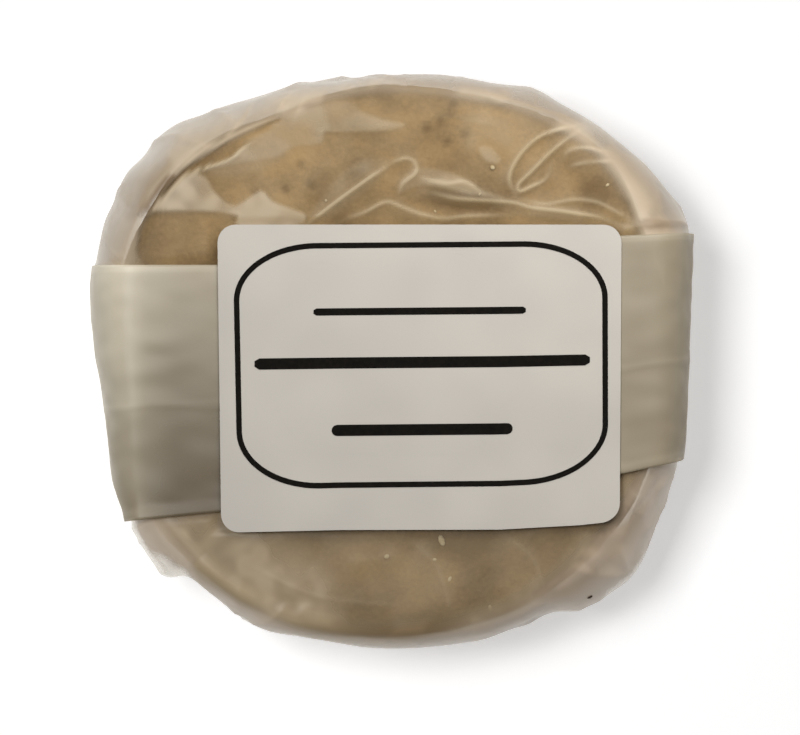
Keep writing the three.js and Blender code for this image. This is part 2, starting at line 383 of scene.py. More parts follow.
def along_line(points, line):
    """For each point: its distance to a line of points, the side it is on (1 left, -1 right),
    and how far along the nearest place is, from 0 to 1."""
    lengths = np.linalg.norm(np.diff(line, axis=0), axis=1)
    start = np.concatenate([[0], np.cumsum(lengths)])
    best = np.full(points.shape[:-1], np.inf)
    side, share = np.ones_like(best), np.zeros_like(best)
    for i in range(len(line) - 1):
        d = line[i + 1] - line[i]
        off = points - line[i]
        t = np.clip(off @ d / (d @ d), 0, 1)
        gap = off - t[..., None] * d
        distance = np.hypot(gap[..., 0], gap[..., 1])
        near = distance < best
        best = np.where(near, distance, best)
        cross = d[0] * off[..., 1] - d[1] * off[..., 0]
        side = np.where(near, np.where(cross < 0, -1.0, 1.0), side)
        share = np.where(near, (start[i] + t * lengths[i]) / start[-1], share)
    return best, side, share


def fold(points, line, high, left, right, crest=0.12):
    """Height and crest of one fold: high * e^(-d/width), with its own width on each side, a crest
    rounded by sqrt(d^2 + crest^2), and both ends tapering off."""
    distance, side, share = along_line(points, line)
    taper = smoothstep(share, 0, 0.25) * (1 - smoothstep(share, 0.75, 1))
    taper = TAPERED + (1 - TAPERED) * taper
    width = np.where(side > 0, left, right)
    rounded = np.sqrt(distance**2 + crest**2) - crest
    height = high * taper * np.exp(-rounded / width)
    line_mark = taper * np.exp(-((distance / CREST_WIDE) ** 2))
    return height, line_mark


ridge = np.array([[0.0, 0.0], [10.0, 0.0]])
beside_ridge = fold(np.array([[5.0, 1.0]]), ridge, high=1.0, left=1.0, right=1.0)[0][0]
print("a fold 1 mm high is", round(float(beside_ridge), 2), "mm high 1 mm beside its crest")

# %% [markdown]
# Each main fold: its height, the widths of its left and right flanks, how white its crest is, and
# the points of its line.

# %% The main folds on top
MAIN_FOLDS = {
    "long double fold": (0.5, 0.45, 1.6, 0.45, [
        (-12.5, 31.4), (-16.2, 29.8), (-18.7, 28.7), (-23.5, 26.4), (-25.8, 25.0), (-27.9, 23.3),
        (-30.0, 21.3), (-31.7, 19.0),
    ]),
    "its lower lip": (0.45, 1.8, 0.25, 0.5, [
        (-16.2, 28.4), (-18.7, 26.6), (-20.3, 25.3), (-25.2, 23.5), (-26.8, 22.3), (-28.4, 20.8),
        (-30.4, 19.2),
    ]),
    "its outer line": (0.25, 0.5, 0.5, 0.25, [
        (-27.4, 25.2), (-29.4, 22.8), (-31.4, 20.2), (-32.6, 18.2),
    ]),
    "layer edge": (0.3, 0.3, 0.8, 0.32, [
        (-17.2, 33.0), (-19.1, 29.8), (-21.5, 27.2),
    ]),
    "short flat fold": (0.3, 1.6, 0.2, 0.2, [
        (-9.6, 29.2), (-7.3, 28.9), (1.6, 29.0),
    ]),
    "diagonal": (0.9, 0.5, 1.0, 0.45, [
        (-11.6, 16.4), (-9.7, 17.7), (-6.3, 20.3), (-2.8, 22.8), (0.4, 24.9),
    ]),
    "hook": (0.7, 0.5, 0.8, 0.4, [
        (-0.4, 24.4), (0.6, 25.0), (2.0, 25.4), (3.1, 24.9), (3.2, 23.6), (1.6, 22.2), (1.1, 20.8),
    ]),
    "low line": (0.6, 0.3, 1.4, 0.4, [
        (-7, 17.2), (-3.3, 18.6), (-0.6, 19.9), (1.7, 19.2), (4.2, 18.3), (6.9, 17.8), (9.6, 18.1),
        (15.6, 18.3),
    ]),
    "upper flap": (0.45, 0.25, 1.2, 0.3, [
        (3.0, 23.2), (6.9, 22.3), (9.6, 22.4), (12.0, 20.6),
    ]),
    "long line": (0.75, 0.7, 0.35, 0.45, [
        (3.6, 21.5), (6.4, 20.8), (8.8, 20.3), (15.1, 19.9), (17.8, 19.2), (21.9, 18.7),
        (26.0, 18.0), (28.4, 17.3), (31.2, 16.3),
    ]),
    "arc to the band": (0.55, 0.35, 0.8, 0.3, [
        (15.6, 20.6), (19.4, 19.7), (23.2, 20.2), (26.0, 19.9), (28.1, 18.9), (30.1, 17.8),
        (32.2, 16.6),
    ]),
    "loop, outer side": (0.6, 0.35, 1.0, 0.5, [
        (24.4, 30.0), (21.9, 29.3), (18.9, 28.2), (16.7, 26.3), (15.3, 24.1), (15.1, 22.2),
        (16.4, 20.0),
    ]),
    "loop, inner side": (0.5, 0.3, 0.6, 0.5, [
        (24.2, 29.3), (21.9, 27.6), (20.0, 26.0), (17.8, 23.8), (16.2, 22.2), (16.3, 21.3),
        (17.8, 21.9), (19.6, 22.9), (20.4, 24.8),
    ]),
    "small arc": (0.4, 0.3, 0.5, 0.35, [
        (21.7, 25.2), (22.7, 26.5), (24.9, 26.8), (27.1, 26.3), (29.0, 25.6),
    ]),
    "fine line": (0.2, 0.25, 0.4, 0.3, [
        (22.2, 24.3), (24.6, 24.9), (28.4, 25.2),
    ]),
    "upper edge": (0.4, 0.4, 1.0, 0.22, [
        (10.0, 35.0), (12.9, 33.6), (16.2, 32.5), (19.4, 31.6), (22.2, 30.8), (25.4, 29.2),
    ]),
    "knot by the band": (0.5, 0.5, 0.3, 0.12, [
        (28.6, 17.6), (29.9, 16.6), (31.4, 17.0), (33.4, 16.2),
    ]),
    "right ear fold": (0.5, 0.3, 1.6, 0.3, [
        (24.6, -23.2), (23.0, -25.6), (19.2, -29.6),
    ]),
    "right ear edge": (0.5, 1.0, 0.4, 0.4, [
        (33.0, -24.0), (30.6, -26.4), (27.0, -29.8),
    ]),
    "left ear edge": (0.5, 0.5, 0.8, 0.4, [
        (-32.5, -19.5), (-30.2, -24.2), (-27.2, -27.8),
    ]),
    "left low fold": (0.35, 0.4, 1.4, 0.15, [
        (-27.5, -20.5), (-24.5, -24.5), (-19.8, -29.0),
    ]),
    "front sweep": (0.25, 1.5, 0.5, 0.08, [
        (-18, -25.5), (-9, -29.6), (3, -31.0),
    ]),
    "front fan, left": (0.22, 0.5, 1.6, 0.08, [
        (2, -22), (6, -26), (8, -33),
    ]),
    "front fan, right": (0.25, 0.5, 1.6, 0.08, [
        (14, -21.8), (18, -25), (20, -30.5),
    ]),
}
print(len(MAIN_FOLDS), "main folds")

# %% [markdown]
# Where folds cross, the higher one shows. The film lies close to the biscuit, so a fold keeps
# only a third of the height that it would have in loose film.

# %% Raise the main folds
CLOSE_FILM = 0.35

plan = film[..., :2]
plan_x, plan_y = plan[..., 0], plan[..., 1]
relief = np.zeros(film.shape[:2])
crest_mark = np.zeros_like(relief)
for high, left, right, white, line in MAIN_FOLDS.values():
    curve = smooth_curve(line, closed=False, steps=8)
    height, mark = fold(plan, curve, CLOSE_FILM * high, left, right, crest=0.25)
    relief = np.maximum(relief, height)
    crest_mark = np.maximum(crest_mark, mark * white)
print("the highest rises", round(float(relief.max()), 2), "mm")

# %% [markdown]
# ## Small folds
#
# On the wall the plan view says nothing, because the wall stands upright. So the small folds are
# drawn in coordinates that lie in the film: the distance round the pack, and the distance down
# from the shoulder. They run mostly down the wall, more of them near the four ears, where the
# parcel's corners are tucked in.

# %% Small folds, drawn at random
columns_at = np.arange(FILM_COLUMNS)
ground_length = np.linalg.norm(np.diff(film, axis=0), axis=-1)
from_base = np.vstack([np.zeros(FILM_COLUMNS), np.cumsum(ground_length, 0)])
shoulder_row = BASE_ROWS - 1 + FOOT_ROWS + WALL_ROWS
down = from_base[shoulder_row] - from_base  # positive down the wall, negative on the top
edge_round = even_steps(edge_curve, FILM_COLUMNS, closed=True)
ROUND = np.linalg.norm(np.roll(edge_round, -1, 0) - edge_round, axis=1).sum()
round_at = np.broadcast_to(columns_at / FILM_COLUMNS * ROUND, down.shape)


def wall_folds(count, seed):
    """count random creases on the wall, each a straight line in (round, down) coordinates."""
    draw = np.random.default_rng(seed)
    height, mark = np.zeros_like(down), np.zeros_like(down)
    for _ in range(count):
        begin = np.array([draw.uniform(0, ROUND), draw.uniform(-5, 14)])
        lean = draw.normal(0, 0.5)
        length = draw.uniform(5, 16)
        line = np.array([begin, begin + length * np.array([np.sin(lean), np.cos(lean)])])
        offset = (round_at - begin[0] + ROUND / 2) % ROUND - ROUND / 2
        local = np.stack([offset + begin[0], down], -1)
        high = draw.uniform(0.12, 0.45)
        wide = draw.uniform(0.7, 2.6, 2)
        one, line_mark = fold(local, line, high, *wide)
        height = np.maximum(height, one)
        mark = np.maximum(mark, line_mark * draw.uniform(0.0, 0.12))
    return height, mark


def top_folds(count, seed):
    """count random creases on the top, each short and mostly along the edge."""
    draw = np.random.default_rng(seed)
    height, mark = np.zeros_like(down), np.zeros_like(down)
    for _ in range(count):
        angle, radius = draw.uniform(0, 2 * np.pi), draw.uniform(18, 35)
        middle = radius * np.array([np.cos(angle), np.sin(angle)])
        aim = angle + np.pi / 2 + draw.normal(0, 0.6)
        reach = draw.uniform(1.5, 5) * np.array([np.cos(aim), np.sin(aim)])
        bow = draw.normal(0, 0.5) * np.array([np.cos(angle), np.sin(angle)])
        line = smooth_curve([middle - reach, middle + bow, middle + reach], closed=False, steps=6)
        one, line_mark = fold(plan, line, draw.uniform(0.04, 0.12), *draw.uniform(0.4, 1.4, 2))
        height = np.maximum(height, one)
        mark = np.maximum(mark, line_mark * draw.uniform(0.0, 0.06))
    return height, mark


on_wall = smoothstep(down, -1.5, 2.5)
wall_height, wall_mark = wall_folds(70, seed=11)
top_height, top_mark = top_folds(24, seed=6)
relief = np.maximum(relief, wall_height * on_wall)
relief = np.maximum(relief, top_height * (1 - on_wall))
crest_mark = np.maximum(crest_mark, np.maximum(wall_mark * on_wall, top_mark * (1 - on_wall)))
print("creases on the wall and the top reach", round(float(relief.max()), 2), "mm")

# %% [markdown]
# Under the label and the band the film is pressed flat, and under the pack too. Elsewhere, soft
# waves add the uneven lift of film that only lies on what it covers. The wall is drawn in a
# little under the band, and where the film stands off the biscuit, but not at the tuck on the
# right, where it is gathered.

# %% The film's surface
FOLD_CLEARANCE = 1.2  # folds fade out over this distance beside the label and the band
LIFT = 0.12
UNDER_BAND, SLACK_WALL = 0.35, 0.25  # how far the wall is drawn in
OFF_TABLE = 0.06

upper = film[..., 2] > WAIST
beside_band = outside_band(plan_x, plan_y)
pressed = 1 - smoothstep(np.minimum(beside_band, outside_label(plan_x, plan_y)), 0, FOLD_CLEARANCE)
pressed = np.maximum(pressed * upper, smoothstep(down, 20, 26))
lift = LIFT * (1 + 0.6 * waves(film, 11, seed=3) + 0.16 * waves(film, 4.5, seed=4))
lift = np.clip(lift, 0, None) * smoothstep(film[..., 2], 1.0, 6.0)
relief = relief * (1 - pressed)
height = relief + lift * (1 - pressed)

stands_off = np.linalg.norm(edge_round, axis=1) - reach_along(biscuit_curve, *edge_round.T)
loose = smoothstep(stands_off, 0.8, 2.2)
right_tuck = smoothstep(plan_x, 30, 34) * smoothstep(plan_y, 9, 13)
under_band = UNDER_BAND * smoothstep(-beside_band, 0, 1.0) * on_wall
slack_wall = SLACK_WALL * loose * on_wall * np.clip(1 - 1.4 * right_tuck, 0, 1)
film_points = film + film_normal * (height - np.maximum(under_band, slack_wall))[..., None]
film_points[..., 2] = np.maximum(film_points[..., 2], OFF_TABLE)
print("folds raise the film by up to", round(float(height.max()), 2), "mm")

# %% [markdown]
# ## Milky, clear and shaded areas
#
# Film that touches the biscuit sends light straight on to it, and looks clear. Where air lies under it,
# or where it is doubled, each face scatters some light, and it looks milky. Which parts of a real
# wrapper do so is chance, so these areas are given as outlines. Each has an amount, the softness of its
# border, and its points.

# %% Areas with air under the film
HAZE_AREAS = {
    "wedge of air": (0.52, 0.35, [
        (-30.4, 19.0), (-28.2, 20.9), (-25.4, 23.4), (-23.2, 23.0), (-22.0, 21.1), (-19.5, 19.5),
        (-16.3, 21.3), (-14.8, 20.0), (-12.2, 19.0), (-10.6, 18.2), (-11.9, 16.9), (-18.9, 16.9),
        (-19.2, 18.2), (-22.0, 18.7), (-26.5, 18.9),
    ]),
    "lip and its strip": (0.28, 0.4, [
        (-24.6, 23.9), (-22.3, 24.6), (-20.3, 25.5), (-18.2, 27.4), (-15.4, 29.0), (-12.2, 31.4),
        (-9.9, 31.8), (-5.4, 32.6), (-3.4, 31.2), (-0.5, 30.2), (1.8, 29.7), (0.0, 29.2),
        (-7.3, 29.1), (-8.3, 28.6), (-8.8, 27.3), (-12.2, 26.8), (-14.0, 25.7), (-16.6, 25.2),
        (-20.0, 24.6),
    ]),
    "below the lip": (0.2, 0.8, [
        (-22.5, 23.8), (-19.0, 25.8), (-15.0, 28.2), (-12.5, 26.8), (-14.5, 24.8), (-19.5, 23.2),
    ]),
    "fan beside the hook": (0.3, 0.35, [
        (3.5, 24.2), (7.3, 23.7), (9.6, 22.6), (12.0, 21.2), (14.3, 20.4), (10.1, 20.9),
        (7.3, 21.6), (4.2, 22.1), (1.1, 21.1), (1.6, 22.9),
    ]),
    "small pale patch": (0.26, 0.3, [
        (11.2, 26.7), (12.2, 27.0), (13.2, 26.4), (14.0, 25.4), (13.4, 24.8), (12.0, 25.2),
    ]),
    "wide faint patch": (0.13, 1.0, [
        (9.0, 30.7), (16.9, 30.6), (18.5, 28.5), (15.5, 26.4), (12.5, 27.6), (9.5, 26.2),
    ]),
    "along the long line": (0.12, 0.4, [
        (14.0, 20.2), (22.0, 19.2), (30.0, 17.4), (30.0, 16.2), (22.0, 17.6), (14.0, 18.8),
    ]),
    "left margin": (0.2, 0.8, [
        (-39.0, 21.0), (-34.0, 22.0), (-31.8, 18.5), (-31.6, 11.5), (-39.0, 11.5),
    ]),
    "beside the diagonal": (0.16, 0.6, [
        (-6.0, 23.5), (-2.0, 25.5), (0.0, 24.5), (-3.0, 21.5), (-8.0, 18.0), (-9.5, 19.0),
    ]),
    "right margin": (0.14, 0.5, [
        (26.5, 30.0), (28.0, 26.0), (29.3, 23.7), (30.9, 18.7), (32.5, 15.0), (39.0, 15.0),
        (38.0, 20.8), (31.6, 27.0),
    ]),
    "front, left side": (0.36, 3.0, [
        (-31.0, -19.0), (-22.0, -20.0), (-11.0, -24.0), (-7.0, -36.0), (-18.0, -36.0),
        (-30.0, -28.0),
    ]),
    "right ear": (0.45, 1.1, [
        (20.4, -31.2), (22.0, -28.7), (25.2, -25.4), (29.0, -21.8), (31.6, -19.2), (36.0, -14.5),
        (38.0, -14.0), (36.0, -24.0), (29.0, -33.0), (21.0, -35.0),
    ]),
    "pale corner of the right ear": (0.2, 0.5, [
        (30.8, -21.0), (34.4, -18.4), (33.4, -21.6), (31.2, -23.2),
    ]),
}
print(len(HAZE_AREAS), "milky areas")

# %% [markdown]
# Between them lie areas that are pressed clear. Two are flaps of single film that stand out past
# the biscuit at the ears, with only the table behind them.

# %% Clear areas
CLEAR_AREAS = {
    "brown corner by the label": (0.7, 0.4, [
        (-31.0, 18.2), (-26.0, 18.2), (-21.0, 17.8), (-20.0, 15.0), (-20.0, 12.0), (-31.0, 12.0),
    ]),
    "brown pocket under the hook": (0.7, 0.5, [
        (2.0, 20.4), (6.0, 20.2), (12.0, 19.6), (14.0, 18.8), (6.0, 18.4), (2.0, 19.2),
    ]),
    "brown strip inside the double fold": (0.95, 0.3, [
        (-30.9, 18.7), (-27.5, 22.7), (-25.4, 24.5), (-21.0, 27.1), (-14.1, 30.3), (-15.4, 29.0),
        (-18.7, 26.7), (-20.5, 25.3), (-25.2, 23.7), (-28.5, 20.9), (-30.2, 19.3),
    ]),
    "brown corner by the lower right of the label": (0.4, 0.5, [
        (29.2, -14.4), (34.6, -13.4), (33.6, -16.5), (31.2, -19.2), (28.0, -21.7), (25.0, -21.2),
    ]),
    "clear flap, left": (0.97, 1.1, [
        (-34.0, -20.5), (-31.8, -21.2), (-30.4, -24.0), (-28.8, -24.4), (-27.2, -25.2),
        (-25.4, -27.0), (-25.5, -29.5), (-31.0, -29.5), (-34.5, -25.0),
    ]),
    "clear flap, right": (0.75, 0.4, [
        (27.2, -30.4), (28.5, -28.2), (31.5, -25.6), (33.0, -24.4), (35.0, -25.0), (33.0, -29.0),
        (29.0, -32.0),
    ]),
}
print(len(CLEAR_AREAS), "clear areas")

# %% [markdown]
# Some milky parts lie in the shade of a fold, of the band or of the rim itself.

# %% Shaded areas
SHADED_AREAS = {
    "tuck above the band": (0.5, 0.35, [
        (31.4, 17.7), (33.5, 17.9), (37.0, 17.3), (37.0, 16.6), (33.0, 16.5), (31.6, 16.8),
    ]),
    "upper margin": (0.4, 0.8, [
        (1.5, 34.6), (10.0, 34.2), (17.0, 32.0), (22.0, 30.0), (24.5, 31.0), (19.0, 34.8),
        (12.0, 36.5), (1.5, 37.0),
    ]),
    "front margin": (0.25, 0.8, [
        (4.0, -35.0), (10.0, -34.0), (16.0, -32.2), (19.5, -30.8), (21.0, -32.5), (16.0, -35.0),
        (10.0, -37.0), (4.0, -37.5),
    ]),
    "front, left rim": (0.35, 0.7, [
        (-14.8, -30.2), (-12.5, -30.9), (-9.5, -31.2), (-9.0, -33.2), (-12.0, -32.6),
        (-14.8, -31.6),
    ]),
    "corner by the lower right of the label": (0.2, 0.5, [
        (30.4, -13.6), (34.2, -13.2), (33.4, -16.2), (31.6, -17.8), (30.4, -16.0),
    ]),
    "lower left rim": (0.25, 0.8, [
        (-28.6, -20.4), (-27.0, -23.2), (-23.8, -26.4), (-20.5, -28.6), (-18.9, -28.4),
        (-21.4, -25.8), (-24.6, -22.6), (-26.8, -19.8),
    ]),
    "end of the double fold": (0.85, 0.35, [
        (-31.9, 18.2), (-30.7, 20.4), (-28.4, 23.1), (-27.0, 23.2), (-29.2, 20.3), (-30.6, 18.4),
    ]),
    "right margin": (0.32, 0.9, [
        (25.5, 28.3), (28.8, 27.5), (31.0, 25.2), (34.4, 21.4), (36.6, 16.5), (32.5, 16.5),
        (32.8, 20.0), (29.4, 24.2),
    ]),
    "upper left margin": (0.35, 0.8, [
        (-33.5, 18.5), (-31.5, 22.5), (-28.5, 25.5), (-27.4, 24.2), (-30.0, 21.0), (-31.8, 18.0),
    ]),
    "foot of the right ear": (0.42, 1.2, [
        (18.0, -30.0), (22.5, -30.0), (26.8, -26.8), (30.2, -23.2), (32.6, -18.8), (30.4, -17.2),
        (27.0, -20.6), (23.4, -23.8), (19.5, -27.0),
    ]),
}
print(len(SHADED_AREAS), "shaded areas")

# %% [markdown]
# To fill such an outline softly, we need each point's distance to it, with a sign that tells the
# inside from the outside.


# %% Filling an area
def signed_distance(points, outline):
    """Distance to a closed line, positive inside. A point is inside where a ray from it to the
    right crosses the line an odd number of times."""
    ring = smooth_curve(outline, closed=True, steps=3)
    ring = np.vstack([ring, ring[:1]])
    x, y = points[..., 0], points[..., 1]
    inside = np.zeros(x.shape, bool)
    for (ax, ay), (bx, by) in zip(ring[:-1], ring[1:]):
        crosses = (ay > y) != (by > y)
        inside ^= crosses & (x < ax + (y - ay) / (by - ay + 1e-9) * (bx - ax))
    distance = along_line(points, ring)[0]
    return np.where(inside, distance, -distance)


def area_shade(amount, soft, outline):
    """amount inside the outline, falling to nothing over twice the distance soft at its edge."""
    return amount * smoothstep(signed_distance(plan, outline), -soft, soft)


wedge = area_shade(*HAZE_AREAS["wedge of air"])
print("the wedge of air covers", np.count_nonzero(wedge), "of", wedge.size, "points")

# %% [markdown]
# ## How milky the film is
#
# The milky value is a sum. Clear film has a little of it, folds add more with their height, and
# patches a few millimetres wide make it uneven. The areas above add theirs. The margin, where the
# film leaves the biscuit's rim and stands in air, is the milkiest. All this counts only where
# the film faces up: the wall stays clear, so that the filling can be seen through it.

# %% The milky value
LID_HAZE, SIDE_HAZE = 0.03, 0.14  # clear film on the top and on the wall
FOLD_HAZE, AIR_DEPTH = 0.14, 0.3  # a fold adds 1 - e^(-height / depth)
PATCH_HAZE, FRONT_HAZE, MARGIN_HAZE, MOST_HAZE = 0.06, 0.16, 0.7, 0.92

patchy = smoothstep(waves(film, 8.5, seed=21) + 0.4 * waves(film, 3.0, seed=22), -0.9, 0.9)
front = smoothstep(-plan_y, -10, 20)
face_up = smoothstep(film_normal[..., 2], 0.03, 0.22)
past_biscuit = np.hypot(plan_x, plan_y) - reach_along(biscuit_curve, plan_x, plan_y)

in_folds = FOLD_HAZE * (1 - np.exp(-relief / AIR_DEPTH))
haze = LID_HAZE + in_folds + PATCH_HAZE * patchy + FRONT_HAZE * front * face_up
air = sum(area_shade(*area) for area in HAZE_AREAS.values()) * face_up
haze = haze + air * (0.75 + 0.5 * patchy)
by_shoulder = 1 - smoothstep(down, 3.5, 7)
level = np.abs(film_normal[..., 2]) ** (1 - 0.6 * front * by_shoulder)
past_rim = smoothstep(past_biscuit, -1.8 - 1.9 * front, 0.3) * face_up * level
margin = MARGIN_HAZE * past_rim * (0.7 + 0.4 * patchy + 0.25 * front)
haze = haze + margin + (SIDE_HAZE - LID_HAZE) * on_wall
for area in CLEAR_AREAS.values():
    haze = haze * (1 - area_shade(*area))
haze = np.clip(haze + crest_mark, 0, MOST_HAZE)
print("milky value from", round(float(haze.min()), 2), "to", round(float(haze.max()), 2))

# %% [markdown]
# ## The milky film's colour
#
# Milky film isn't white, because light that passes it picks up the brown of what lies under it.
# One value, the tone, chooses a colour between a pale warm grey at 0 and the biscuit's own at 1.
# It is high over the biscuit, lower where air keeps the two apart, and lowest where several layers lie
# on each other at the front and on the underside. That low tone is partly the paleness of doubled film
# and partly painted light over the table's shadow seen through the film. The film's front wall past the
# rim is made paler still, as painted light. A second value darkens what is in shade, as painted shade:
# the areas above, and the taut film that turns down over the front rim.

# %% Tone and shade
MARGIN_TONE = 0.4

tight = 1 - smoothstep(stands_off, 1.3, 3.5)
over_biscuit = (1 - smoothstep(past_biscuit, -3, 0)) * upper * (1 - 0.5 * front)
# layers and painted light: doubled film is paler, and the same term paints light over the shadow that
# shows through at the front
layers_and_painted_light = 0.75 * front * (1 - tight**2) + 0.3 * (1 - upper)
layers_and_painted_light = np.clip(smoothstep(past_biscuit, -3.5, 0.5) * layers_and_painted_light, 0, 1)
turned_down = smoothstep(past_biscuit, -4.0, -1.6) * (1 - smoothstep(past_biscuit, -1.0, 0.3))
taut = front * tight**2 * turned_down

tone = MARGIN_TONE + 0.6 * over_biscuit * (1 - np.clip(air, 0, 1) * (1 - front))
tone = tone + (0.3 * taut - 0.4 * layers_and_painted_light) * (1 - over_biscuit)
# painted light: the front wall past the rim is made paler
tone = tone - 0.2 * front * smoothstep(past_biscuit, -0.8, 0.4)
shaded = 0.75 * taut * (0.2 + 0.7 * smoothstep(plan_x, -16, 2))
for area in SHADED_AREAS.values():
    shaded = np.maximum(shaded, area_shade(*area) * upper)
print("tone from", round(float(tone.min()), 2), "to", round(float(tone.max()), 2))

# %% [markdown]
# ## Clear film
#
# The wrapper is polypropylene film, cast and then stretched, a few hundredths of a millimetre
# thick. Stretching leaves it smooth and glossy. It lets most light straight through, mirrors a
# few percent of it, more at a grazing angle, and turns milky where it is creased or doubled. So
# the shader has three parts: Transparent, a Glossy mirror weighed by Fresnel, and a pale
# Principled surface that takes over by the milky value. Crumpled film never mirrors as strongly
# as a flat sheet does at its edge, so the mirror's share ends at a half.

# %% Material: clear film
film_material, tree = new_material("polypropylene_film")
milky = add_node(tree, "ShaderNodeAttribute", attribute_name="milky").outputs["Fac"]
tone_here = add_node(tree, "ShaderNodeAttribute", attribute_name="tone").outputs["Fac"]
shade_here = add_node(tree, "ShaderNodeAttribute", attribute_name="shaded").outputs["Fac"]
fresnel = add_node(tree, "ShaderNodeFresnel", {"IOR": 1.5})
mirrored = add_node(
    tree, "ShaderNodeMapRange",
    {"Value": fresnel.outputs[0], "From Min": 0.036, "From Max": 1.0, "To Min": 0.0, "To Max": 0.5},
)
clear = add_node(tree, "ShaderNodeBsdfTransparent", {"Color": linear("#fdfcf9")})
mirror = add_node(tree, "ShaderNodeBsdfGlossy", {"Color": linear("#fffdf8"), "Roughness": 0.3})
thin = add_node(
    tree, "ShaderNodeMixShader", {0: mirrored.outputs[0], 1: clear.outputs[0], 2: mirror.outputs[0]}
)
tint = add_node(
    tree, "ShaderNodeValToRGB", {0: tone_here}, stops=[(0, "#cdbba5"), (0.4, "#b7a58c"), (1, "#b4a07c")]
)
# painted shade: the shaded value multiplies the tint by a brown, #9c8666
tinted_and_shaded = add_node(
    tree, "ShaderNodeMix", {0: shade_here, 6: tint.outputs[0], 7: linear("#9c8666")},
    data_type="RGBA", blend_type="MULTIPLY",
)
cloudy = add_node(
    tree, "ShaderNodeBsdfPrincipled",
    {"Base Color": tinted_and_shaded.outputs[2], "Roughness": 0.42, "IOR": 1.5, "Specular IOR Level": 0.4},
)
mix = add_node(tree, "ShaderNodeMixShader", {0: milky, 1: thin.outputs[0], 2: cloudy.outputs[0]})
add_node(tree, "ShaderNodeOutputMaterial", {"Surface": mix.outputs[0]})
print(film_material.name, "has", len(tree.nodes), "nodes")

# %% [markdown]
# The grid of film points is closed at the middle of its underside and of its top, and the three
# values worked out above go with its points.

# %% The wrapper's mesh
film_base = [0, 0, film_points[0, :, 2].mean()]
film_top = [0, 0, lid_height(0, 0)]
points, faces = closed_ends(film_points, film_base, film_top)
film_values = {
    "milky": with_ends(haze, SIDE_HAZE, LID_HAZE),
    "tone": with_ends(tone, MARGIN_TONE, 1),
    "shaded": with_ends(shaded, 0, 0),
}
wrapper = make_piece("film_wrapper", points, faces, film_material, film_values)

# %% [markdown]
# ## The biscuits
#
# Maize starch makes a pale, short, dry biscuit that crumbles easily. It is cut from rolled
# dough, so its faces are flat and its edge is round, and it browns a little at the rim. Each is a
# profile turned about the biscuit's own axis, then pushed in and out by waves and small pits.

# %% The biscuits' sizes and places in millimetres
BISCUIT_COLUMNS, BISCUIT_ROWS = 480, 160
BISCUIT_EDGE = 2.6  # radius of the rounded rim
LOWER, UPPER = (0.35, 8.9), (14.9, 23.3)  # heights of the underside and the top
BISCUIT_WAVES = [(17, 0.16), (5, 0.07), (1.8, 0.035)]  # wavelength and height
TOP_SPOTS = [  # x, y, half length, half width, turn in degrees, how much browner
    (-16.0, 22.0, 15.0, 7.5, 28, -0.32), (8.0, 20.3, 6.5, 1.4, -4, 0.5),
    (26.7, 21.4, 3.4, 2.4, 0, 0.35), (-10.6, 22.4, 3.9, 3.2, 0, 0.5),
    (2.4, 32.6, 4.5, 1.6, 0, 0.25), (-5.0, 31.8, 3.5, 1.6, 0, -0.35),
    (16.5, 30.4, 5.0, 2.0, -28, 0.3), (-3.8, 24.5, 3.0, 2.0, 40, 0.3),
    (6.4, 30.6, 2.6, 2.2, 0, 0.1), (1.3, 27.5, 2.6, 1.8, 0, 0.12), (-15.5, 22.8, 3.0, 1.6, 0, 0.3),
    (13.0, 28.4, 6.0, 4.0, -15, -0.45), (-14.0, 29.0, 4.0, 3.0, -30, -0.4),
    # the first spot on this line is painted shadow just below the label's lower edge
    (6.4, -23.2, 6.5, 1.8, 0, 0.45), (11.4, -28.5, 3.0, 2.4, 30, 0.35),
    (3.8, -32.8, 4.0, 1.8, 0, 0.35), (-4.0, -25.5, 4.5, 2.4, -10, -0.2),
    (20.0, -23.5, 3.6, 2.6, 20, 0.25), (-13.0, -25.0, 5.0, 3.0, 10, -0.15),
]
TOP_PITS = [
    (-15.1, 26.4), (-11.3, 24.5), (-13.2, 21.4), (-16.9, 20.8), (-10.0, 22.0),
    (7.9, 32.3), (7.5, 31.0), (6.4, 30.2), (7.2, 27.5), (4.5, 29.3), (9.4, 28.4),
]
PIT_DEEP, PIT_WIDE = 0.5, 0.55
print(len(TOP_SPOTS), "darker or paler spots and", len(TOP_PITS), "pits on the upper biscuit")

# %% [markdown]
# The profile is half of a section through the disc. Turned about the upright axis it gives rings
# of points, each stretched to the biscuit's uneven outline.


# %% A biscuit as a turned profile
def disc_profile(low, high, radius, edge, rows):
    """Radius and height along a disc's section from the middle of its underside to the middle of
    its top: a flat, a quarter circle, an upright, a quarter circle and a flat."""
    turn = np.linspace(0, np.pi / 2, 12)
    flat = radius - edge
    r = np.concatenate([[0], flat + edge * np.sin(turn), flat + edge * np.cos(turn), [0]])
    rise, fall = edge * (1 - np.cos(turn)), edge * (1 - np.sin(turn))
    z = np.concatenate([[low], low + rise, high - fall, [high]])
    return even_steps(np.stack([r, z], 1), rows, closed=False).T


def turned(r, z, columns):
    """The profile turned about the vertical and stretched sideways to the biscuit's outline,
    without its two end points on the axis."""
    angle = np.arange(columns) / columns * 2 * np.pi
    stretch = reach_along(biscuit_curve, np.cos(angle), np.sin(angle)) / BISCUIT_RADIUS
    x = r[1:-1, None] * stretch * np.cos(angle)
    y = r[1:-1, None] * stretch * np.sin(angle)
    return np.stack([x, y, np.broadcast_to(z[1:-1, None], x.shape)], -1)


def spot(points, x, y, long, wide, turn, amount):
    """A soft ellipse on the plan: amount * e^(-d^3), d being the distance in half widths."""
    c, s = np.cos(np.radians(turn)), np.sin(np.radians(turn))
    off_x, off_y = points[..., 0] - x, points[..., 1] - y
    d2 = ((off_x * c + off_y * s) / long) ** 2 + ((off_y * c - off_x * s) / wide) ** 2
    return amount * np.exp(-(d2**1.5))


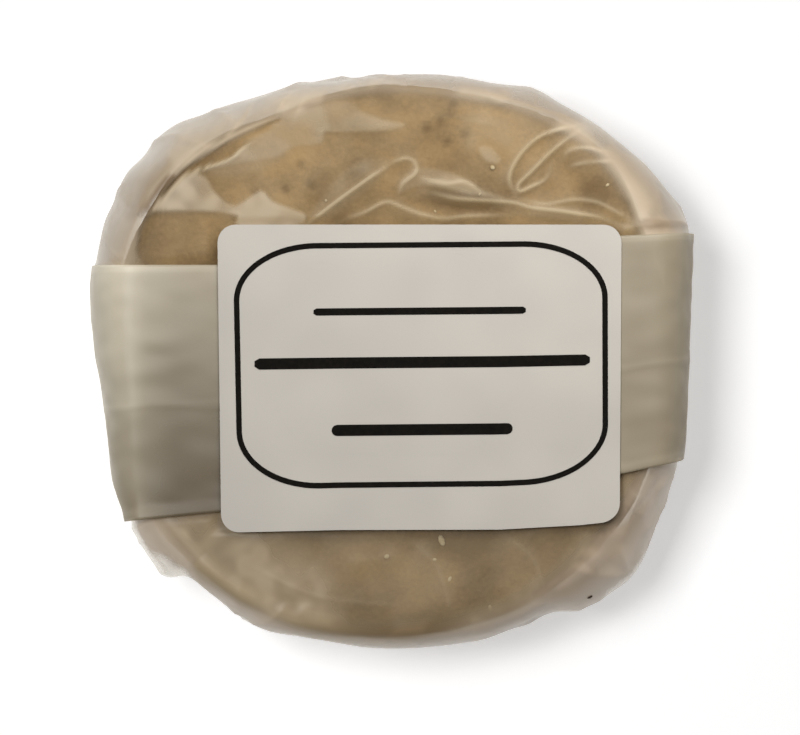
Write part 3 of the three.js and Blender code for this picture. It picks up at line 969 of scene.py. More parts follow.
def biscuit(name, low, high, seed, pits, spots):
    """A disc with waves of three sizes on it and with small round pits pressed into its top. It is
    browner at the rim, darker in the pits as painted shade, and darker or paler in the spots."""
    r, z = disc_profile(low, high, BISCUIT_RADIUS, BISCUIT_EDGE, BISCUIT_ROWS)
    grid = turned(r, z, BISCUIT_COLUMNS)
    normal = grid_normals(grid)
    hills = [tall * waves(grid, length, seed + i) for i, (length, tall) in enumerate(BISCUIT_WAVES)]
    rough = sum(hills)
    for x, y in pits:
        away = np.hypot(grid[..., 0] - x, grid[..., 1] - y)
        rough -= PIT_DEEP * np.exp(-((away / PIT_WIDE) ** 2)) * (normal[..., 2] > 0)
    grid = grid + normal * (np.clip(rough, -0.7, 0.3) - 0.15)[..., None]
    edge = reach_along(biscuit_curve, grid[..., 0], grid[..., 1])
    out = np.hypot(grid[..., 0], grid[..., 1]) / edge
    grid[..., 2] -= LID_DROP * out**4 * (normal[..., 2] > -0.5)

    rim = smoothstep(out, 0.86, 1.0) * (1 - 0.6 * np.abs(normal[..., 2]))
    brown = 0.5 + 0.13 * waves(grid, 13, seed + 3) + 0.07 * waves(grid, 4, seed + 4) + 0.25 * rim
    # painted shade: each pit is darkened
    for x, y in pits:
        brown = brown + spot(grid, x, y, PIT_WIDE, PIT_WIDE, 0, 0.4)
    for place in spots:
        brown = brown + spot(grid, *place)
    points, faces = closed_ends(grid, [0, 0, low + 0.15], [0, 0, high - 0.15])
    values = {"browning_and_shade": with_ends(np.clip(brown, 0, 1), 0.5, 0.5)}
    return make_piece(name, points, faces, biscuit_material, values)


# %% [markdown]
# ## Baked dough
#
# The surface is dry starch and sugar: matt, with fine crumbs, and browner where it was hotter.
# One noise of 0.6 mm makes the crumbs, one of 2.4 mm the fine holes left by steam, and a bump adds the
# two. The colour goes along a ramp with the value worked out above, which holds browning at the rim,
# painted shade in the pits, and darker or paler spots. The crumbs speckle it.

# %% Material: baked maize starch dough
CRUMB_GRAIN, STEAM_HOLE = 0.6 * MM, 2.4 * MM

biscuit_material, tree = new_material("baked_maize_biscuit")
here = add_node(tree, "ShaderNodeTexCoord").outputs["Object"]
browning_and_shade = add_node(tree, "ShaderNodeAttribute", attribute_name="browning_and_shade")
crumb = add_node(
    tree, "ShaderNodeTexNoise", {"Vector": here, "Scale": 1 / CRUMB_GRAIN, "Detail": 3.0}
)
holes = add_node(
    tree, "ShaderNodeTexNoise", {"Vector": here, "Scale": 1 / STEAM_HOLE, "Detail": 2.0}
)
speckled = add_node(
    tree, "ShaderNodeMapRange",
    {"Value": crumb.outputs[0], "From Min": 0.3, "From Max": 0.7, "To Min": -0.09, "To Max": 0.09},
)
shade = add_node(
    tree, "ShaderNodeMath", {0: browning_and_shade.outputs["Fac"], 1: speckled.outputs[0]},
    operation="ADD", use_clamp=True,
)
ramp = add_node(
    tree, "ShaderNodeValToRGB", {0: shade.outputs[0]}, stops=[(0.1, "#a0865f"), (0.9, "#705a3c")]
)
grain = add_node(
    tree, "ShaderNodeMath", {0: crumb.outputs[0], 1: holes.outputs[0]}, operation="ADD"
)
bump = add_node(
    tree, "ShaderNodeBump", {"Height": grain.outputs[0], "Strength": 0.5, "Distance": 0.25 * MM}
)
dough = add_node(
    tree, "ShaderNodeBsdfPrincipled",
    {
        "Base Color": ramp.outputs[0], "Roughness": 0.85, "IOR": 1.45, "Specular IOR Level": 0.25,
        "Normal": bump.outputs[0],
    },
)
add_node(tree, "ShaderNodeOutputMaterial", {"Surface": dough.outputs[0]})
print(biscuit_material.name, "has", len(tree.nodes), "nodes")

# %% [markdown]
# Only the upper biscuit's top is seen closely, so the pits and spots are kept for it.

# %% Both biscuits
lower_biscuit = biscuit("lower_biscuit", *LOWER, seed=41, pits=[], spots=[])
upper_biscuit = biscuit("upper_biscuit", *UPPER, seed=61, pits=TOP_PITS, spots=TOP_SPOTS)

# %% [markdown]
# ## The filling
#
# Milk caramel is spread between the biscuits and bulges a little at the side where it was
# pressed. Boiled milk and sugar give it a smooth, satin, brown surface with faint swirls.

# %% Material: milk caramel
SWIRL = 6 * MM

filling_material, tree = new_material("milk_caramel")
here = add_node(tree, "ShaderNodeTexCoord").outputs["Object"]
swirl = add_node(tree, "ShaderNodeTexNoise", {"Vector": here, "Scale": 1 / SWIRL, "Detail": 1.0})
ramp = add_node(
    tree, "ShaderNodeValToRGB", {0: swirl.outputs[0]}, stops=[(0.3, "#7a4a24"), (0.7, "#925d30")]
)
bump = add_node(
    tree, "ShaderNodeBump", {"Height": swirl.outputs[0], "Strength": 0.4, "Distance": 0.5 * MM}
)
caramel = add_node(
    tree, "ShaderNodeBsdfPrincipled",
    {"Base Color": ramp.outputs[0], "Roughness": 0.42, "IOR": 1.46, "Normal": bump.outputs[0]},
)
add_node(tree, "ShaderNodeOutputMaterial", {"Surface": caramel.outputs[0]})
print(filling_material.name, "has", len(tree.nodes), "nodes")

# %% [markdown]
# Its shape is a disc of the same kind, with a rounder rim and with waves that make it bulge
# unevenly. It reaches a little into both biscuits, so no gap shows.

# %% The filling's shape
FILLING_LOW, FILLING_HIGH, FILLING_EDGE, FILLING_INSET = 8.5, 15.3, 2.9, 0.4
r, z = disc_profile(FILLING_LOW, FILLING_HIGH, BISCUIT_RADIUS - FILLING_INSET, FILLING_EDGE, 40)
grid = turned(r, z, 300)
bulge = 0.35 * waves(grid, 14, seed=71) + 0.12 * waves(grid, 5, seed=72) - 0.3
grid = grid + grid_normals(grid) * bulge[..., None]
points, faces = closed_ends(grid, [0, 0, FILLING_LOW + 0.3], [0, 0, FILLING_HIGH - 0.3])
filling = make_piece("caramel_filling", points, faces, filling_material)

# %% [markdown]
# ## Quinoa flecks
#
# Pale quinoa flakes are baked into the biscuit's top and cling to it. Each is a small flat
# ellipsoid of a few dozen faces, half sunk in the dough, and all of them are one mesh. A flake is
# a grain rolled flat and baked dry, so it is pale, matt and slightly mottled.

# %% Material: quinoa flake
MOTTLE = 0.8 * MM

fleck_material, tree = new_material("quinoa_flake")
here = add_node(tree, "ShaderNodeTexCoord").outputs["Object"]
grainy = add_node(tree, "ShaderNodeTexNoise", {"Vector": here, "Scale": 1 / MOTTLE})
ramp = add_node(
    tree, "ShaderNodeValToRGB", {0: grainy.outputs[0]}, stops=[(0.3, "#b5a27c"), (0.7, "#cbbd9c")]
)
flake = add_node(
    tree, "ShaderNodeBsdfPrincipled", {"Base Color": ramp.outputs[0], "Roughness": 0.6, "IOR": 1.45}
)
add_node(tree, "ShaderNodeOutputMaterial", {"Surface": flake.outputs[0]})
print(fleck_material.name, "has", len(tree.nodes), "nodes")

# %% [markdown]
# One small ball, squashed and copied, is enough for all of them: seen at this size, nobody counts
# its faces.

# %% The flecks' shape
BALL_RINGS, BALL_COLUMNS = 4, 8


def flecks(places, sizes, turns, heights):
    """Flat ellipsoids: a unit ball of rings x columns points, scaled by length, width and
    thickness, turned about the vertical and set in place, all computed in one array."""
    tilt = (np.pi * np.arange(1, BALL_RINGS + 1) / (BALL_RINGS + 1))[:, None]
    turn = 2 * np.pi * np.arange(BALL_COLUMNS) / BALL_COLUMNS
    upright = -np.cos(tilt) * np.ones(BALL_COLUMNS)
    ball = np.stack([np.sin(tilt) * np.cos(turn), np.sin(tilt) * np.sin(turn), upright], -1)
    one, one_faces = closed_ends(ball, [0, 0, -1], [0, 0, 1])
    scaled = one[None] * sizes[:, None, :]
    c, s = np.cos(turns)[:, None], np.sin(turns)[:, None]
    x = scaled[..., 0] * c - scaled[..., 1] * s + places[:, None, 0]
    y = scaled[..., 0] * s + scaled[..., 1] * c + places[:, None, 1]
    z = scaled[..., 2] + heights[:, None]
    points = np.stack([x, y, z], -1).reshape(-1, 3)
    faces = [[v + k * len(one) for v in face] for k in range(len(places)) for face in one_faces]
    return points, faces


print("each fleck has", 2 * BALL_RINGS * BALL_COLUMNS, "triangles")

# %% [markdown]
# The clearest flecks have places of their own. The smaller ones are drawn at random, seeded, over
# the biscuit's top. Near the rim each sinks with the rounded edge.

# %% The flecks' places
FLECKS = [
    (6.5, -22.7, 0.80, 0.42, 110), (5.6, -25.1, 0.30, 0.22, 0), (7.4, -27.7, 0.68, 0.32, 60),
    (12.6, -31.2, 0.60, 0.24, 100), (-0.4, -24.7, 0.38, 0.32, 30), (-6.5, -29.4, 0.62, 0.34, 20),
    # the ones at (12.9, 24.3) and (27.4, 22.1) only put small pale points on the top
    (-5.0, -28.4, 0.34, 0.22, 60), (-1.3, -31.5, 0.34, 0.32, 0), (12.9, 24.3, 0.34, 0.28, 140),
    (27.4, 22.1, 0.32, 0.18, 40),
]  # x, y, half length, half width, turn in degrees
FLECK_COUNT = 24  # the ones drawn at random

draw = np.random.default_rng(17)
spread = 31 * np.sqrt(draw.uniform(0.05, 1, FLECK_COUNT))
around = draw.uniform(0, 2 * np.pi, FLECK_COUNT)
scattered = np.stack([spread * np.cos(around), spread * np.sin(around)], 1)
main = np.array(FLECKS)
places = np.vstack([main[:, :2], scattered])
long = np.concatenate([main[:, 2], draw.uniform(0.14, 0.34, FLECK_COUNT)])
wide = np.concatenate([main[:, 3], draw.uniform(0.08, 0.18, FLECK_COUNT)])
turns = np.concatenate([np.radians(main[:, 4]), draw.uniform(0, np.pi, FLECK_COUNT)])
sizes = np.stack([long, wide, np.full(len(long), 0.13)], 1)
from_middle = np.linalg.norm(places, axis=1)
edge_there = reach_along(biscuit_curve, places[:, 0], places[:, 1])
off = np.clip(from_middle - (edge_there - BISCUIT_EDGE), 0, BISCUIT_EDGE)
fall = BISCUIT_EDGE - np.sqrt(BISCUIT_EDGE**2 - off**2) + LID_DROP * (from_middle / edge_there) ** 4
points, faces = flecks(places, sizes, turns, UPPER[1] - 0.02 - fall)
fleck_piece = make_piece("quinoa_flecks", points, faces, fleck_material)

# %% [markdown]
# ## One dark crumb
#
# A crumb of well-browned dough clings to the film at the front right ear. It is dry and matt, and
# made as the flecks are.

# %% The dark crumb
CRUMB_X, CRUMB_Y, CRUMB_TURN = 25.3, -30.0, 0.3
CRUMB_SIZE = (0.42, 0.24, 0.2)  # half length, half width, half thickness

crumb_material, tree = new_material("dark_baked_crumb")
toasted = add_node(
    tree, "ShaderNodeBsdfPrincipled", {"Base Color": linear("#3a2c1e"), "Roughness": 0.8}
)
add_node(tree, "ShaderNodeOutputMaterial", {"Surface": toasted.outputs[0]})
away = np.hypot(film_points[..., 0] - CRUMB_X, film_points[..., 1] - CRUMB_Y)
film_there = film_points[upper][away[upper].argmin(), 2]
points, faces = flecks(
    np.array([[CRUMB_X, CRUMB_Y]]), np.array([CRUMB_SIZE]), np.array([CRUMB_TURN]),
    np.array([film_there + CRUMB_SIZE[2] / 2]),
)
crumb_piece = make_piece("dark_crumb", points, faces, crumb_material)

# %% [markdown]
# ## The folded band
#
# The film's two ends are folded flat and brought over the top, so the band is several layers of
# film, thick enough to look milky. It is a strap of nearly straight sides. Each line along it runs
# up one wall, across the top and down the other wall, on the same superellipse as the bag's wall.

# %% The band's shape
BAND_LINES, BAND_STEPS, BAND_WALL_STEPS = 90, 240, 44
BAND_INNER, BAND_SHEET = 0.36, 0.14  # its height over the film, and its thickness
BAND_TUCK = 0.8  # height over the table at which its lines begin, lower than the solid's ends
BAND_SHOULDERS = (-31.0, 32.0)


def band_y(x, across):
    """y of the band's lines at x, straight from its bottom edge (across 0) to its top edge (1)."""
    return band_edge(BAND_BOTTOM, x) * (1 - across) + band_edge(BAND_TOP, x) * across


def edge_crossing(across, sign):
    """x where a line meets the wrapper's edge, found by repeating x = sqrt(reach^2 - y^2)."""
    x = np.full_like(across, 36.0 * sign)
    for _ in range(60):
        y = band_y(x, across)
        reach = reach_along(edge_curve, x, y)
        x = 0.5 * x + 0.5 * sign * np.sqrt(np.maximum(reach**2 - y**2, 1))
    return x


def band_wall(across, sign, shoulder):
    """x and z of the lines on one wall: x and z follow cos and sin to the power 2/p, from the
    foot up to the shoulder."""
    edge_x = edge_crossing(across, sign)
    low = np.arcsin(((WAIST - BAND_TUCK) / WAIST) ** (BAND_POWER / 2))
    turn = np.linspace(-low, np.pi / 2, BAND_WALL_STEPS)[:, None]
    x = shoulder + (edge_x - shoulder) * np.cos(turn) ** (2 / BAND_POWER)
    swing = np.sign(turn) * np.abs(np.sin(turn)) ** (2 / BAND_POWER)
    top = lid_height(shoulder, band_y(shoulder, across))
    z = np.where(turn < 0, WAIST * (1 + swing), WAIST + (top - WAIST) * swing)
    return x, z


def band_lines(across):
    """Points of the band's middle surface: up the left wall, over the top in even steps of x at
    the lid's height, and down the right wall."""
    left, right = BAND_SHOULDERS
    left_x, left_z = band_wall(across, -1, left)
    right_x, right_z = band_wall(across, 1, right)
    flat = np.linspace(0, 1, BAND_STEPS)[1:-1, None]
    top_x = left + (right - left) * flat * np.ones_like(across)
    x = np.vstack([left_x, top_x, right_x[::-1]])
    z = np.vstack([left_z, lid_height(top_x, band_y(top_x, across)), right_z[::-1]])
    return np.stack([x, band_y(x, across), z], -1)


across = np.linspace(0, 1, BAND_LINES)
band_middle = band_lines(across)
ends = band_middle[0, 0].round(1), band_middle[-1, 0].round(1)
print("band grid:", band_middle.shape[:2], "ends", *ends)

# %% [markdown]
# A sheet of some thickness is the grid twice, moved out along its normals, with walls round the border.
# The label uses the second of these helpers too.


# %% Sheets
def sheet_normals(points):
    """Unit normals of an open rows x columns grid, rows along and columns across."""
    normal = np.cross(np.gradient(points, axis=0), np.gradient(points, axis=1))
    return normal / np.linalg.norm(normal, axis=-1, keepdims=True)


def slab(points, normal, low, high):
    """A closed sheet: the grid moved out by high for its outer face and by low for its inner face,
    with side walls round its border."""
    rows, columns = points.shape[:2]
    outer, inner = points + normal * high, points + normal * low
    count = rows * columns
    face = grid_faces(rows, columns, wrap=False)
    index = np.arange(count).reshape(rows, columns)
    border = np.concatenate([index[0, :-1], index[:-1, -1], index[-1, :0:-1], index[:0:-1, 0]])
    after = np.roll(border, -1)
    walls = np.stack([border + count, after + count, after, border], -1)
    faces = np.vstack([face, face[:, ::-1] + count, walls])
    return np.vstack([outer.reshape(-1, 3), inner.reshape(-1, 3)]), faces


band_normal = sheet_normals(band_middle)
print("the band is", BAND_SHEET, "mm thick")

# %% [markdown]
# The layers don't reach equally far. The upper three fifths of the band's width has the most layers and
# is whitest, and below it the biscuit's brown shows through more. Each layer's edge, or hem, is a thin
# light line, brightened by a painted highlight along its bend. On the left part, light and shade are
# painted too. The band is milkier and lighter towards its top edge, and paler at its left end and wall.
# A painted shadow darkens it low down, most of all beside the label, where it is also less milky. At
# the right end, where the band turns down, it is a little less milky, as painted shade.

# %% How milky the band is
BAND_HAZE = 0.52
INNER_FOLD = 0.43  # where the lower, thinner part ends, as a share of the width
HEM_LINES_AND_SHEEN = [(0.985, 0.012, 1.0), (0.03, 0.018, 0.8), (INNER_FOLD + 0.02, 0.012, 0.4)]

band_x = band_middle[..., 0]
band_across = np.broadcast_to(across, band_x.shape)
# hem lines and sheen: the hems are real layer edges, each brightened by a painted highlight
hem_lines_and_sheen = sum(
    white * np.exp(-(((band_across - place) / wide) ** 2)) for place, wide, white in HEM_LINES_AND_SHEEN
)
wave_line = 0.012 * waves(band_middle[..., :1], 16, seed=31)
thick_part = smoothstep(band_across + wave_line, INNER_FOLD - 0.012, INNER_FOLD + 0.012)
cloud = 0.025 * waves(band_middle, 9, seed=33)
cloud += 0.02 * waves(band_middle * [0.3, 1, 1], 2.5, seed=34)
on_left = 1 - smoothstep(band_x, -12, 12)
by_label = smoothstep(band_x, -34, -26)
# thinner and shaded: fewer layers low down, and painted shade on the left that grows beside the label
thinner_and_shaded = (0.12 + 0.22 * by_label) * (1 - band_across)
# painted light at the left end, painted shade where the band turns down at the right
ends_light_and_shade = 0.14 * smoothstep(-band_x, 33, 36) - 0.03 * smoothstep(band_x, 33, 36)
band_milky = BAND_HAZE + on_left * (0.14 - thinner_and_shaded) + ends_light_and_shade
band_milky = np.clip(band_milky + 0.05 * thick_part + 0.18 * hem_lines_and_sheen + cloud, 0.05, 0.95)
# painted shade and light on the left: shadow darkens the lower side and the part beside the label, the
# top is painted lighter, and the left end paler
shadow = on_left * (0.6 * by_label * (1 - 0.35 * band_across) + 0.2 * (1 - band_across))
band_tone = 0.4 + 0.2 * on_left * band_across + 0.35 * smoothstep(-band_x, 30, 35) - 0.45 * shadow
print("band's milky value", round(float(band_milky.min()), 2), "to", round(float(band_milky.max()), 2))

# %% [markdown]
# The band isn't quite smooth. It has a few long soft waves, most of them on the side walls, its
# hem at the lower left stands off, and it lies closer on the left wall.

# %% The band's surface
on_side = smoothstep(np.abs(band_x - 1.3), 30, 36)
left_wall = (band_x < 0) * smoothstep(-band_middle[..., 2], -21.5, -17)
left_hem = (1 - smoothstep(band_across, 0, 0.06)) * (1 - smoothstep(band_x, -8, 8))
buckle = 0.045 * waves(band_middle * [0.25, 1, 1], 6, seed=35) * on_side * (1 - 0.6 * left_wall)
buckle += 0.3 * left_hem * (1 - left_wall) - 0.3 * left_wall
buckle += 0.02 * waves(band_middle * [0.4, 1, 1], 3, seed=36) + 0.05 * thick_part
shifted = band_middle + band_normal * (BAND_INNER + buckle)[..., None]
points, faces = slab(shifted, band_normal, 0, BAND_SHEET)
print("the band's waves are", round(float(buckle.max() - buckle.min()), 2), "mm high")

# %% [markdown]
# It is the same film, folded several times and pressed flat. So many faces scatter the light that
# it looks like frosted glass: a Principled surface of middling gloss, mixed with Transparent by
# its own milky value. No mirror is needed, because the folds break it up.

# %% Material: layered film
band_material, tree = new_material("layered_polypropylene_film")
milky = add_node(tree, "ShaderNodeAttribute", attribute_name="milky").outputs["Fac"]
tone_here = add_node(tree, "ShaderNodeAttribute", attribute_name="tone").outputs["Fac"]
clear = add_node(tree, "ShaderNodeBsdfTransparent", {"Color": linear("#e8e1d4")})
tint = add_node(
    tree, "ShaderNodeValToRGB", {0: tone_here}, stops=[(0, "#7d7464"), (0.4, "#afa48e"), (1, "#e8dec8")]
)
cloudy = add_node(
    tree, "ShaderNodeBsdfPrincipled",
    {"Base Color": tint.outputs[0], "Roughness": 0.4, "IOR": 1.5, "Specular IOR Level": 0.4},
)
mix = add_node(tree, "ShaderNodeMixShader", {0: milky, 1: clear.outputs[0], 2: cloudy.outputs[0]})
add_node(tree, "ShaderNodeOutputMaterial", {"Surface": mix.outputs[0]})
band_values = {"milky": np.tile(band_milky.ravel(), 2), "tone": np.tile(band_tone.ravel(), 2)}
band = make_piece("folded_film_band", points, faces, band_material, band_values)

# %% [markdown]
# ## The label
#
# A self-adhesive paper label, cut with rounded corners. It is one sheet a tenth of a millimetre
# thick that follows the pack's top, and its lower edge stands off a little.

# %% The label's shape
LABEL_ACROSS, LABEL_UP, CORNER_STEPS = 130, 100, 10  # points along its sides and in a corner
LABEL_UNDER, LABEL_PAPER = 0.72, 0.13  # its height over the film, and its thickness


def round_square(u, v, width, height, corner):
    """Maps the square -1..1 to a rectangle with round corners: a point keeps its place inside, and
    near a corner the grid's lines are pulled in to a quarter circle."""
    x, y = u * width / 2, v * height / 2
    inner_x, inner_y = width / 2 - corner, height / 2 - corner
    over_x, over_y = np.clip(np.abs(x) - inner_x, 0, None), np.clip(np.abs(y) - inner_y, 0, None)
    largest, length = np.maximum(over_x, over_y), np.hypot(over_x, over_y)
    pull = np.where(length > 0, largest / np.maximum(length, 1e-9), 1)
    x = np.where((over_x > 0) & (over_y > 0), np.sign(x) * (inner_x + over_x * pull), x)
    y = np.where((over_x > 0) & (over_y > 0), np.sign(y) * (inner_y + over_y * pull), y)
    return x, y


def label_lift(x, y):
    """How far the label stands off its usual height: its lower edge and that edge's ends lift."""
    low = smoothstep(-(y - LABEL_Y), LABEL_HEIGHT / 2 - 10, LABEL_HEIGHT / 2 + 2)
    end = smoothstep(x - LABEL_X, LABEL_WIDTH / 2 - 12, LABEL_WIDTH / 2)
    return low * (0.40 + 0.3 * end)


def on_label(x, y, above):
    """Points over the label's underside at a height above it. Its lower edge isn't quite square:
    it runs down at the left and up at the right, and is a little shorter than the upper edge."""
    u, v = (x - LABEL_X) / LABEL_WIDTH + 0.5, (y - LABEL_Y) / LABEL_HEIGHT + 0.5
    z = lid_height(x, y) + LABEL_UNDER + label_lift(x, y) + above
    x = x + (1 - v) * (0.5 - 0.75 * u)
    y = y + (1 - v) ** 2 * np.interp(u, (0, 0.3, 0.7, 0.9, 1), (-0.6, -0.25, -0.2, 0.35, 0.9))
    return np.stack([x, y, z], -1)


def with_corners(length, count):
    """Places from -1 to 1 along a side, close together in the rounded corners, where they are
    1 - cos(turn) of the corner's radius from its end."""
    corner = LABEL_CORNER * (1 - np.cos(np.linspace(0, np.pi / 2, CORNER_STEPS)))
    straight = length / 2 - LABEL_CORNER
    inner = np.linspace(-straight, straight, count - 2 * (CORNER_STEPS - 1))
    start = -length / 2 + corner[:-1]
    return np.concatenate([start, inner, -start[::-1]]) / (length / 2)


along_x, along_y = with_corners(LABEL_WIDTH, LABEL_ACROSS), with_corners(LABEL_HEIGHT, LABEL_UP)
u, v = np.meshgrid(along_x, along_y, indexing="ij")
x, y = round_square(u, v, LABEL_WIDTH, LABEL_HEIGHT, LABEL_CORNER)
paper = on_label(x + LABEL_X, y + LABEL_Y, 0)
points, faces = slab(paper, np.array([0, 0, 1.0]), 0, LABEL_PAPER)
print("label paper:", round(float(np.ptp(paper[..., 0])), 1), "mm wide with its slanted sides")

# %% [markdown]
# Thermal label paper is pressed smooth and thinly coated, so that heat can print on it. It is
# nearly matt. Fibres of 0.35 mm give a faint bump, and a noise of 9 mm a hardly visible mottling.

# %% Material: thermal label paper
FIBRE, MOTTLING = 0.35 * MM, 9 * MM

label_material, tree = new_material("thermal_label_paper")
here = add_node(tree, "ShaderNodeTexCoord").outputs["Object"]
fibre = add_node(tree, "ShaderNodeTexNoise", {"Vector": here, "Scale": 1 / FIBRE, "Detail": 2.0})
soft = add_node(tree, "ShaderNodeTexNoise", {"Vector": here, "Scale": 1 / MOTTLING, "Detail": 1.0})
ramp = add_node(
    tree, "ShaderNodeValToRGB", {0: soft.outputs[0]}, stops=[(0.3, "#b0aaa1"), (0.7, "#b6b0a6")]
)
bump = add_node(
    tree, "ShaderNodeBump", {"Height": fibre.outputs[0], "Strength": 0.15, "Distance": 0.03 * MM}
)
sheet = add_node(
    tree, "ShaderNodeBsdfPrincipled",
    {
        "Base Color": ramp.outputs[0], "Roughness": 0.55, "IOR": 1.5, "Specular IOR Level": 0.35,
        "Normal": bump.outputs[0],
    },
)
add_node(tree, "ShaderNodeOutputMaterial", {"Surface": sheet.outputs[0]})
label = make_piece("paper_label", points, faces, label_material, smooth=False)

# %% [markdown]
# ## The print
#
# Black print: a frame line with large rounded corners, and plain rounded bars where the lettering
# would be. Ink has no thickness to speak of, but each shape gets a few hundredths of a millimetre,
# so that it is a solid that stays clear of the paper.

# %% The print's sizes in millimetres
INK_UNDER, INK_THICK = 0.012, 0.03
FRAME_X, FRAME_Y, FRAME_WIDTH, FRAME_HEIGHT = 3.9, -0.45, 47.15, 30.6
FRAME_CORNER_WIDE, FRAME_CORNER_HIGH = 10.6, 7.2
FRAME_LINE = 0.7
PRINT_TURN = np.radians(0.47)  # the print isn't quite square on the label
BARS = [(-13.4, 13.5, 8.2, 0.9), (-21.0, 21.6, 1.8, 1.4), (-11.3, 11.7, -6.6, 1.4)]
# each bar: its left and right end, its middle height and its thickness, from the label's middle
print("print: a frame line", FRAME_LINE, "mm wide and", len(BARS), "bars")

# %% [markdown]
# Each shape is a flat ring between two closed lines. The frame's inner line is its outer one,
# inset by the line's width. A bar's inner line is its own centre line, run there and back, so that
# its ring closes up.


# %% The print's shapes
def print_at(line, x, y):
    """A line of points turned by the print's small turn and set in place."""
    c, s = np.cos(PRINT_TURN), np.sin(PRINT_TURN)
    return line @ np.array([[c, s], [-s, c]]) + [x, y]


def ink_slab(rim_inner, rim_outer):
    """A closed flat ring between two closed lines of points: inner and outer line, each at the
    ink's lower and upper height."""
    low, high = LABEL_PAPER + INK_UNDER, LABEL_PAPER + INK_UNDER + INK_THICK
    section = [(rim_outer, low), (rim_outer, high), (rim_inner, high), (rim_inner, low)]
    rings = np.stack([on_label(line[:, 0], line[:, 1], above) for line, above in section])
    rows, columns = rings.shape[:2]
    closed = np.vstack([rings, rings[:1]])
    faces = grid_faces(rows + 1, columns, wrap=True) % (rows * columns)
    return closed[:rows].reshape(-1, 3), faces


def frame_line(inset):
    """The frame's rounded rectangle, with quarter ellipses for corners, inset by a distance."""
    a, b = FRAME_CORNER_WIDE - inset, FRAME_CORNER_HIGH - inset
    turn = np.linspace(0, np.pi / 2, 30)
    quarter = np.stack([a * np.cos(turn), b * np.sin(turn)], 1)
    cx, cy = FRAME_WIDTH / 2 - FRAME_CORNER_WIDE, FRAME_HEIGHT / 2 - FRAME_CORNER_HIGH
    corners = [
        quarter + [cx, cy],
        quarter[::-1] * [-1, 1] + [-cx, cy],
        -quarter - [cx, cy],
        quarter[::-1] * [1, -1] + [cx, -cy],
    ]
    return print_at(even_steps(np.vstack(corners), 400, closed=True), FRAME_X, FRAME_Y)


def bar(left, right, middle, high):
    """A bar with half round ends as two closed lines: its outline, and its centre line, on which
    the ring closes up to a solid bar."""
    turn = np.linspace(-np.pi / 2, np.pi / 2, 16)
    radius = high / 2
    cap = radius * np.stack([np.cos(turn), np.sin(turn)], 1)
    outline = np.vstack([cap + [right - radius, middle], -cap + [left + radius, middle]])
    outline = even_steps(outline, 120, closed=True)
    spine_x = np.clip(outline[:, 0], left + radius, right - radius)
    spine = np.stack([spine_x, np.full_like(spine_x, middle)], 1)
    return ink_slab(print_at(spine, LABEL_X, LABEL_Y), print_at(outline, LABEL_X, LABEL_Y))


frame_shape = ink_slab(frame_line(FRAME_LINE), frame_line(0))
bar_points, bar_faces, count = [], [], 0
for place in BARS:
    points, faces = bar(*place)
    bar_points.append(points)
    bar_faces.append(faces + count)
    count += len(points)
print("the print has", len(frame_shape[0]) + count, "points")

# %% [markdown]
# Thermal print is the paper's own coating, turned black by heat dot by dot. It is matt and a
# little uneven, with dots of half a millimetre here, coarser than the real ones so that they show.

# %% Material: thermal print
PRINT_DOT = 0.5 * MM

ink_material, tree = new_material("thermal_black_print")
here = add_node(tree, "ShaderNodeTexCoord").outputs["Object"]
dots = add_node(tree, "ShaderNodeTexNoise", {"Vector": here, "Scale": 1 / PRINT_DOT})
ramp = add_node(
    tree, "ShaderNodeValToRGB", {0: dots.outputs[0]}, stops=[(0.3, "#0d0b08"), (0.7, "#15120e")]
)
black = add_node(
    tree, "ShaderNodeBsdfPrincipled",
    {"Base Color": ramp.outputs[0], "Roughness": 0.85, "Specular IOR Level": 0.08},
)
add_node(tree, "ShaderNodeOutputMaterial", {"Surface": black.outputs[0]})
frame_print = make_piece("label_frame", *frame_shape, ink_material, smooth=False)
bars_print = make_piece(
    "label_bars", np.vstack(bar_points), np.vstack(bar_faces), ink_material, smooth=False
)

# %% [markdown]
# ## Riding and replacing
#
# Every piece rides on the model's one body. The film and all it holds stand for the solid
# wrapped_biscuit, the band for film_band, and the paper and its print for label.

# %% Tie the pieces to the frame
PIECES = (
    (wrapper, "wrapped_biscuit", "film"),
    (upper_biscuit, "wrapped_biscuit", "biscuit"),
    (lower_biscuit, "wrapped_biscuit", "biscuit"),
    (filling, "wrapped_biscuit", "filling"),
    (fleck_piece, "wrapped_biscuit", "biscuit"),
    (crumb_piece, "wrapped_biscuit", "biscuit"),
    (band, "film_band", "band"),
    (label, "label", "label"),
    (frame_print, "label", "ink"),
    (bars_print, "label", "ink"),
)
for piece, node, slot in PIECES:
    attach(piece, "root")
    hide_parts(node)
print(len(PIECES), "pieces ride on the root body")

# %% [markdown]
# ## Studio
#
# A white table that glows a little, as a lit white backdrop does, and a pale surround keep the
# shadows pale. The camera looks straight down from far away through a long lens.

# %% Table, surround and camera
CAMERA_AT, LABEL_TOP = (0.00125, -0.0009, 0.6), 0.025  # metres, as all in the studio
VIEW_WIDE, SENSOR = 0.1004, 36.0  # width of the view at the label's height; sensor in mm

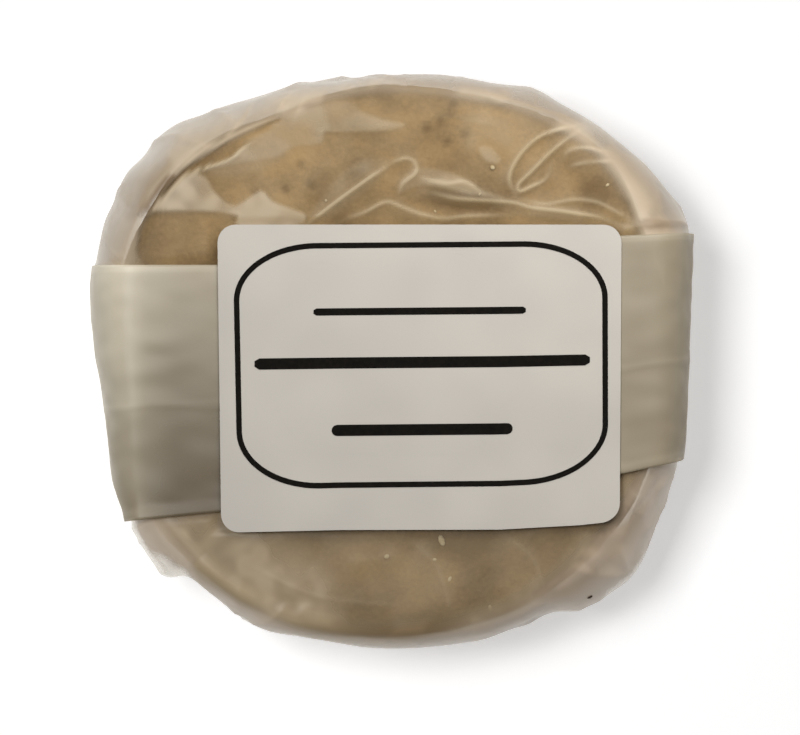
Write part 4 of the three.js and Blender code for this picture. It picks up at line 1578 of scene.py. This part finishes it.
floor_mesh = bpy.data.meshes.new("table")
floor_mesh.from_pydata([(-3, -3, 0), (3, -3, 0), (3, 3, 0), (-3, 3, 0)], [], [(0, 1, 2, 3)])
floor = bpy.data.objects.new("table", floor_mesh)
bpy.context.scene.collection.objects.link(floor)
floor_material, tree = new_material("white_table")
board = add_node(
    tree, "ShaderNodeBsdfPrincipled",
    {
        "Base Color": linear("#ffffff"), "Roughness": 0.8, "Emission Color": (1, 1, 1, 1),
        "Emission Strength": 0.51,
    },
)
add_node(tree, "ShaderNodeOutputMaterial", {"Surface": board.outputs[0]})
floor_mesh.materials.append(floor_material)

world = bpy.data.worlds.new("surround")
world.use_nodes = True
world.node_tree.nodes["Background"].inputs["Color"].default_value = (1, 1, 1, 1)
world.node_tree.nodes["Background"].inputs["Strength"].default_value = 0.08
bpy.context.scene.world = world
bpy.context.scene.view_settings.view_transform = "Standard"

camera_data = bpy.data.cameras.new("overhead")
camera_data.sensor_width = SENSOR
camera_data.lens = SENSOR * (CAMERA_AT[2] - LABEL_TOP) / VIEW_WIDE
camera = bpy.data.objects.new("overhead", camera_data)
camera.location = CAMERA_AT
bpy.context.scene.collection.objects.link(camera)
bpy.context.scene.camera = camera
print("lens", round(camera_data.lens), "mm")

# %% [markdown]
# The main light is a soft box high at the upper left, which throws the pack's shadow to the
# right. Film shows its folds by what it mirrors, so a small box close over the upper right of the
# pack gives the folds there their sheen. Light linking lets it light the pack alone, so that the
# table has one shadow.

# %% Lights
TARGET = Vector((0, 0, 0.012))


def soft_box(name, place, size, power):
    """A square area light at a place in metres, aimed at the middle of the pack."""
    data = bpy.data.lights.new(name, "AREA")
    data.shape, data.size, data.energy = "SQUARE", size, power
    light = bpy.data.objects.new(name, data)
    light.location = place
    light.rotation_euler = (TARGET - light.location).to_track_quat("-Z", "Y").to_euler()
    light.visible_camera = False
    bpy.context.scene.collection.objects.link(light)
    return light


soft_box("key", (-0.26, 0.10, 0.84), 0.24, 3.65)
near_light = soft_box("near_top_right", (0.045, 0.088, 0.13), 0.11, 0.22)
pack_only = bpy.data.collections.new("pack_only")
for piece, _, _ in PIECES:
    pack_only.objects.link(piece)
near_light.light_linking.receiver_collection = pack_only
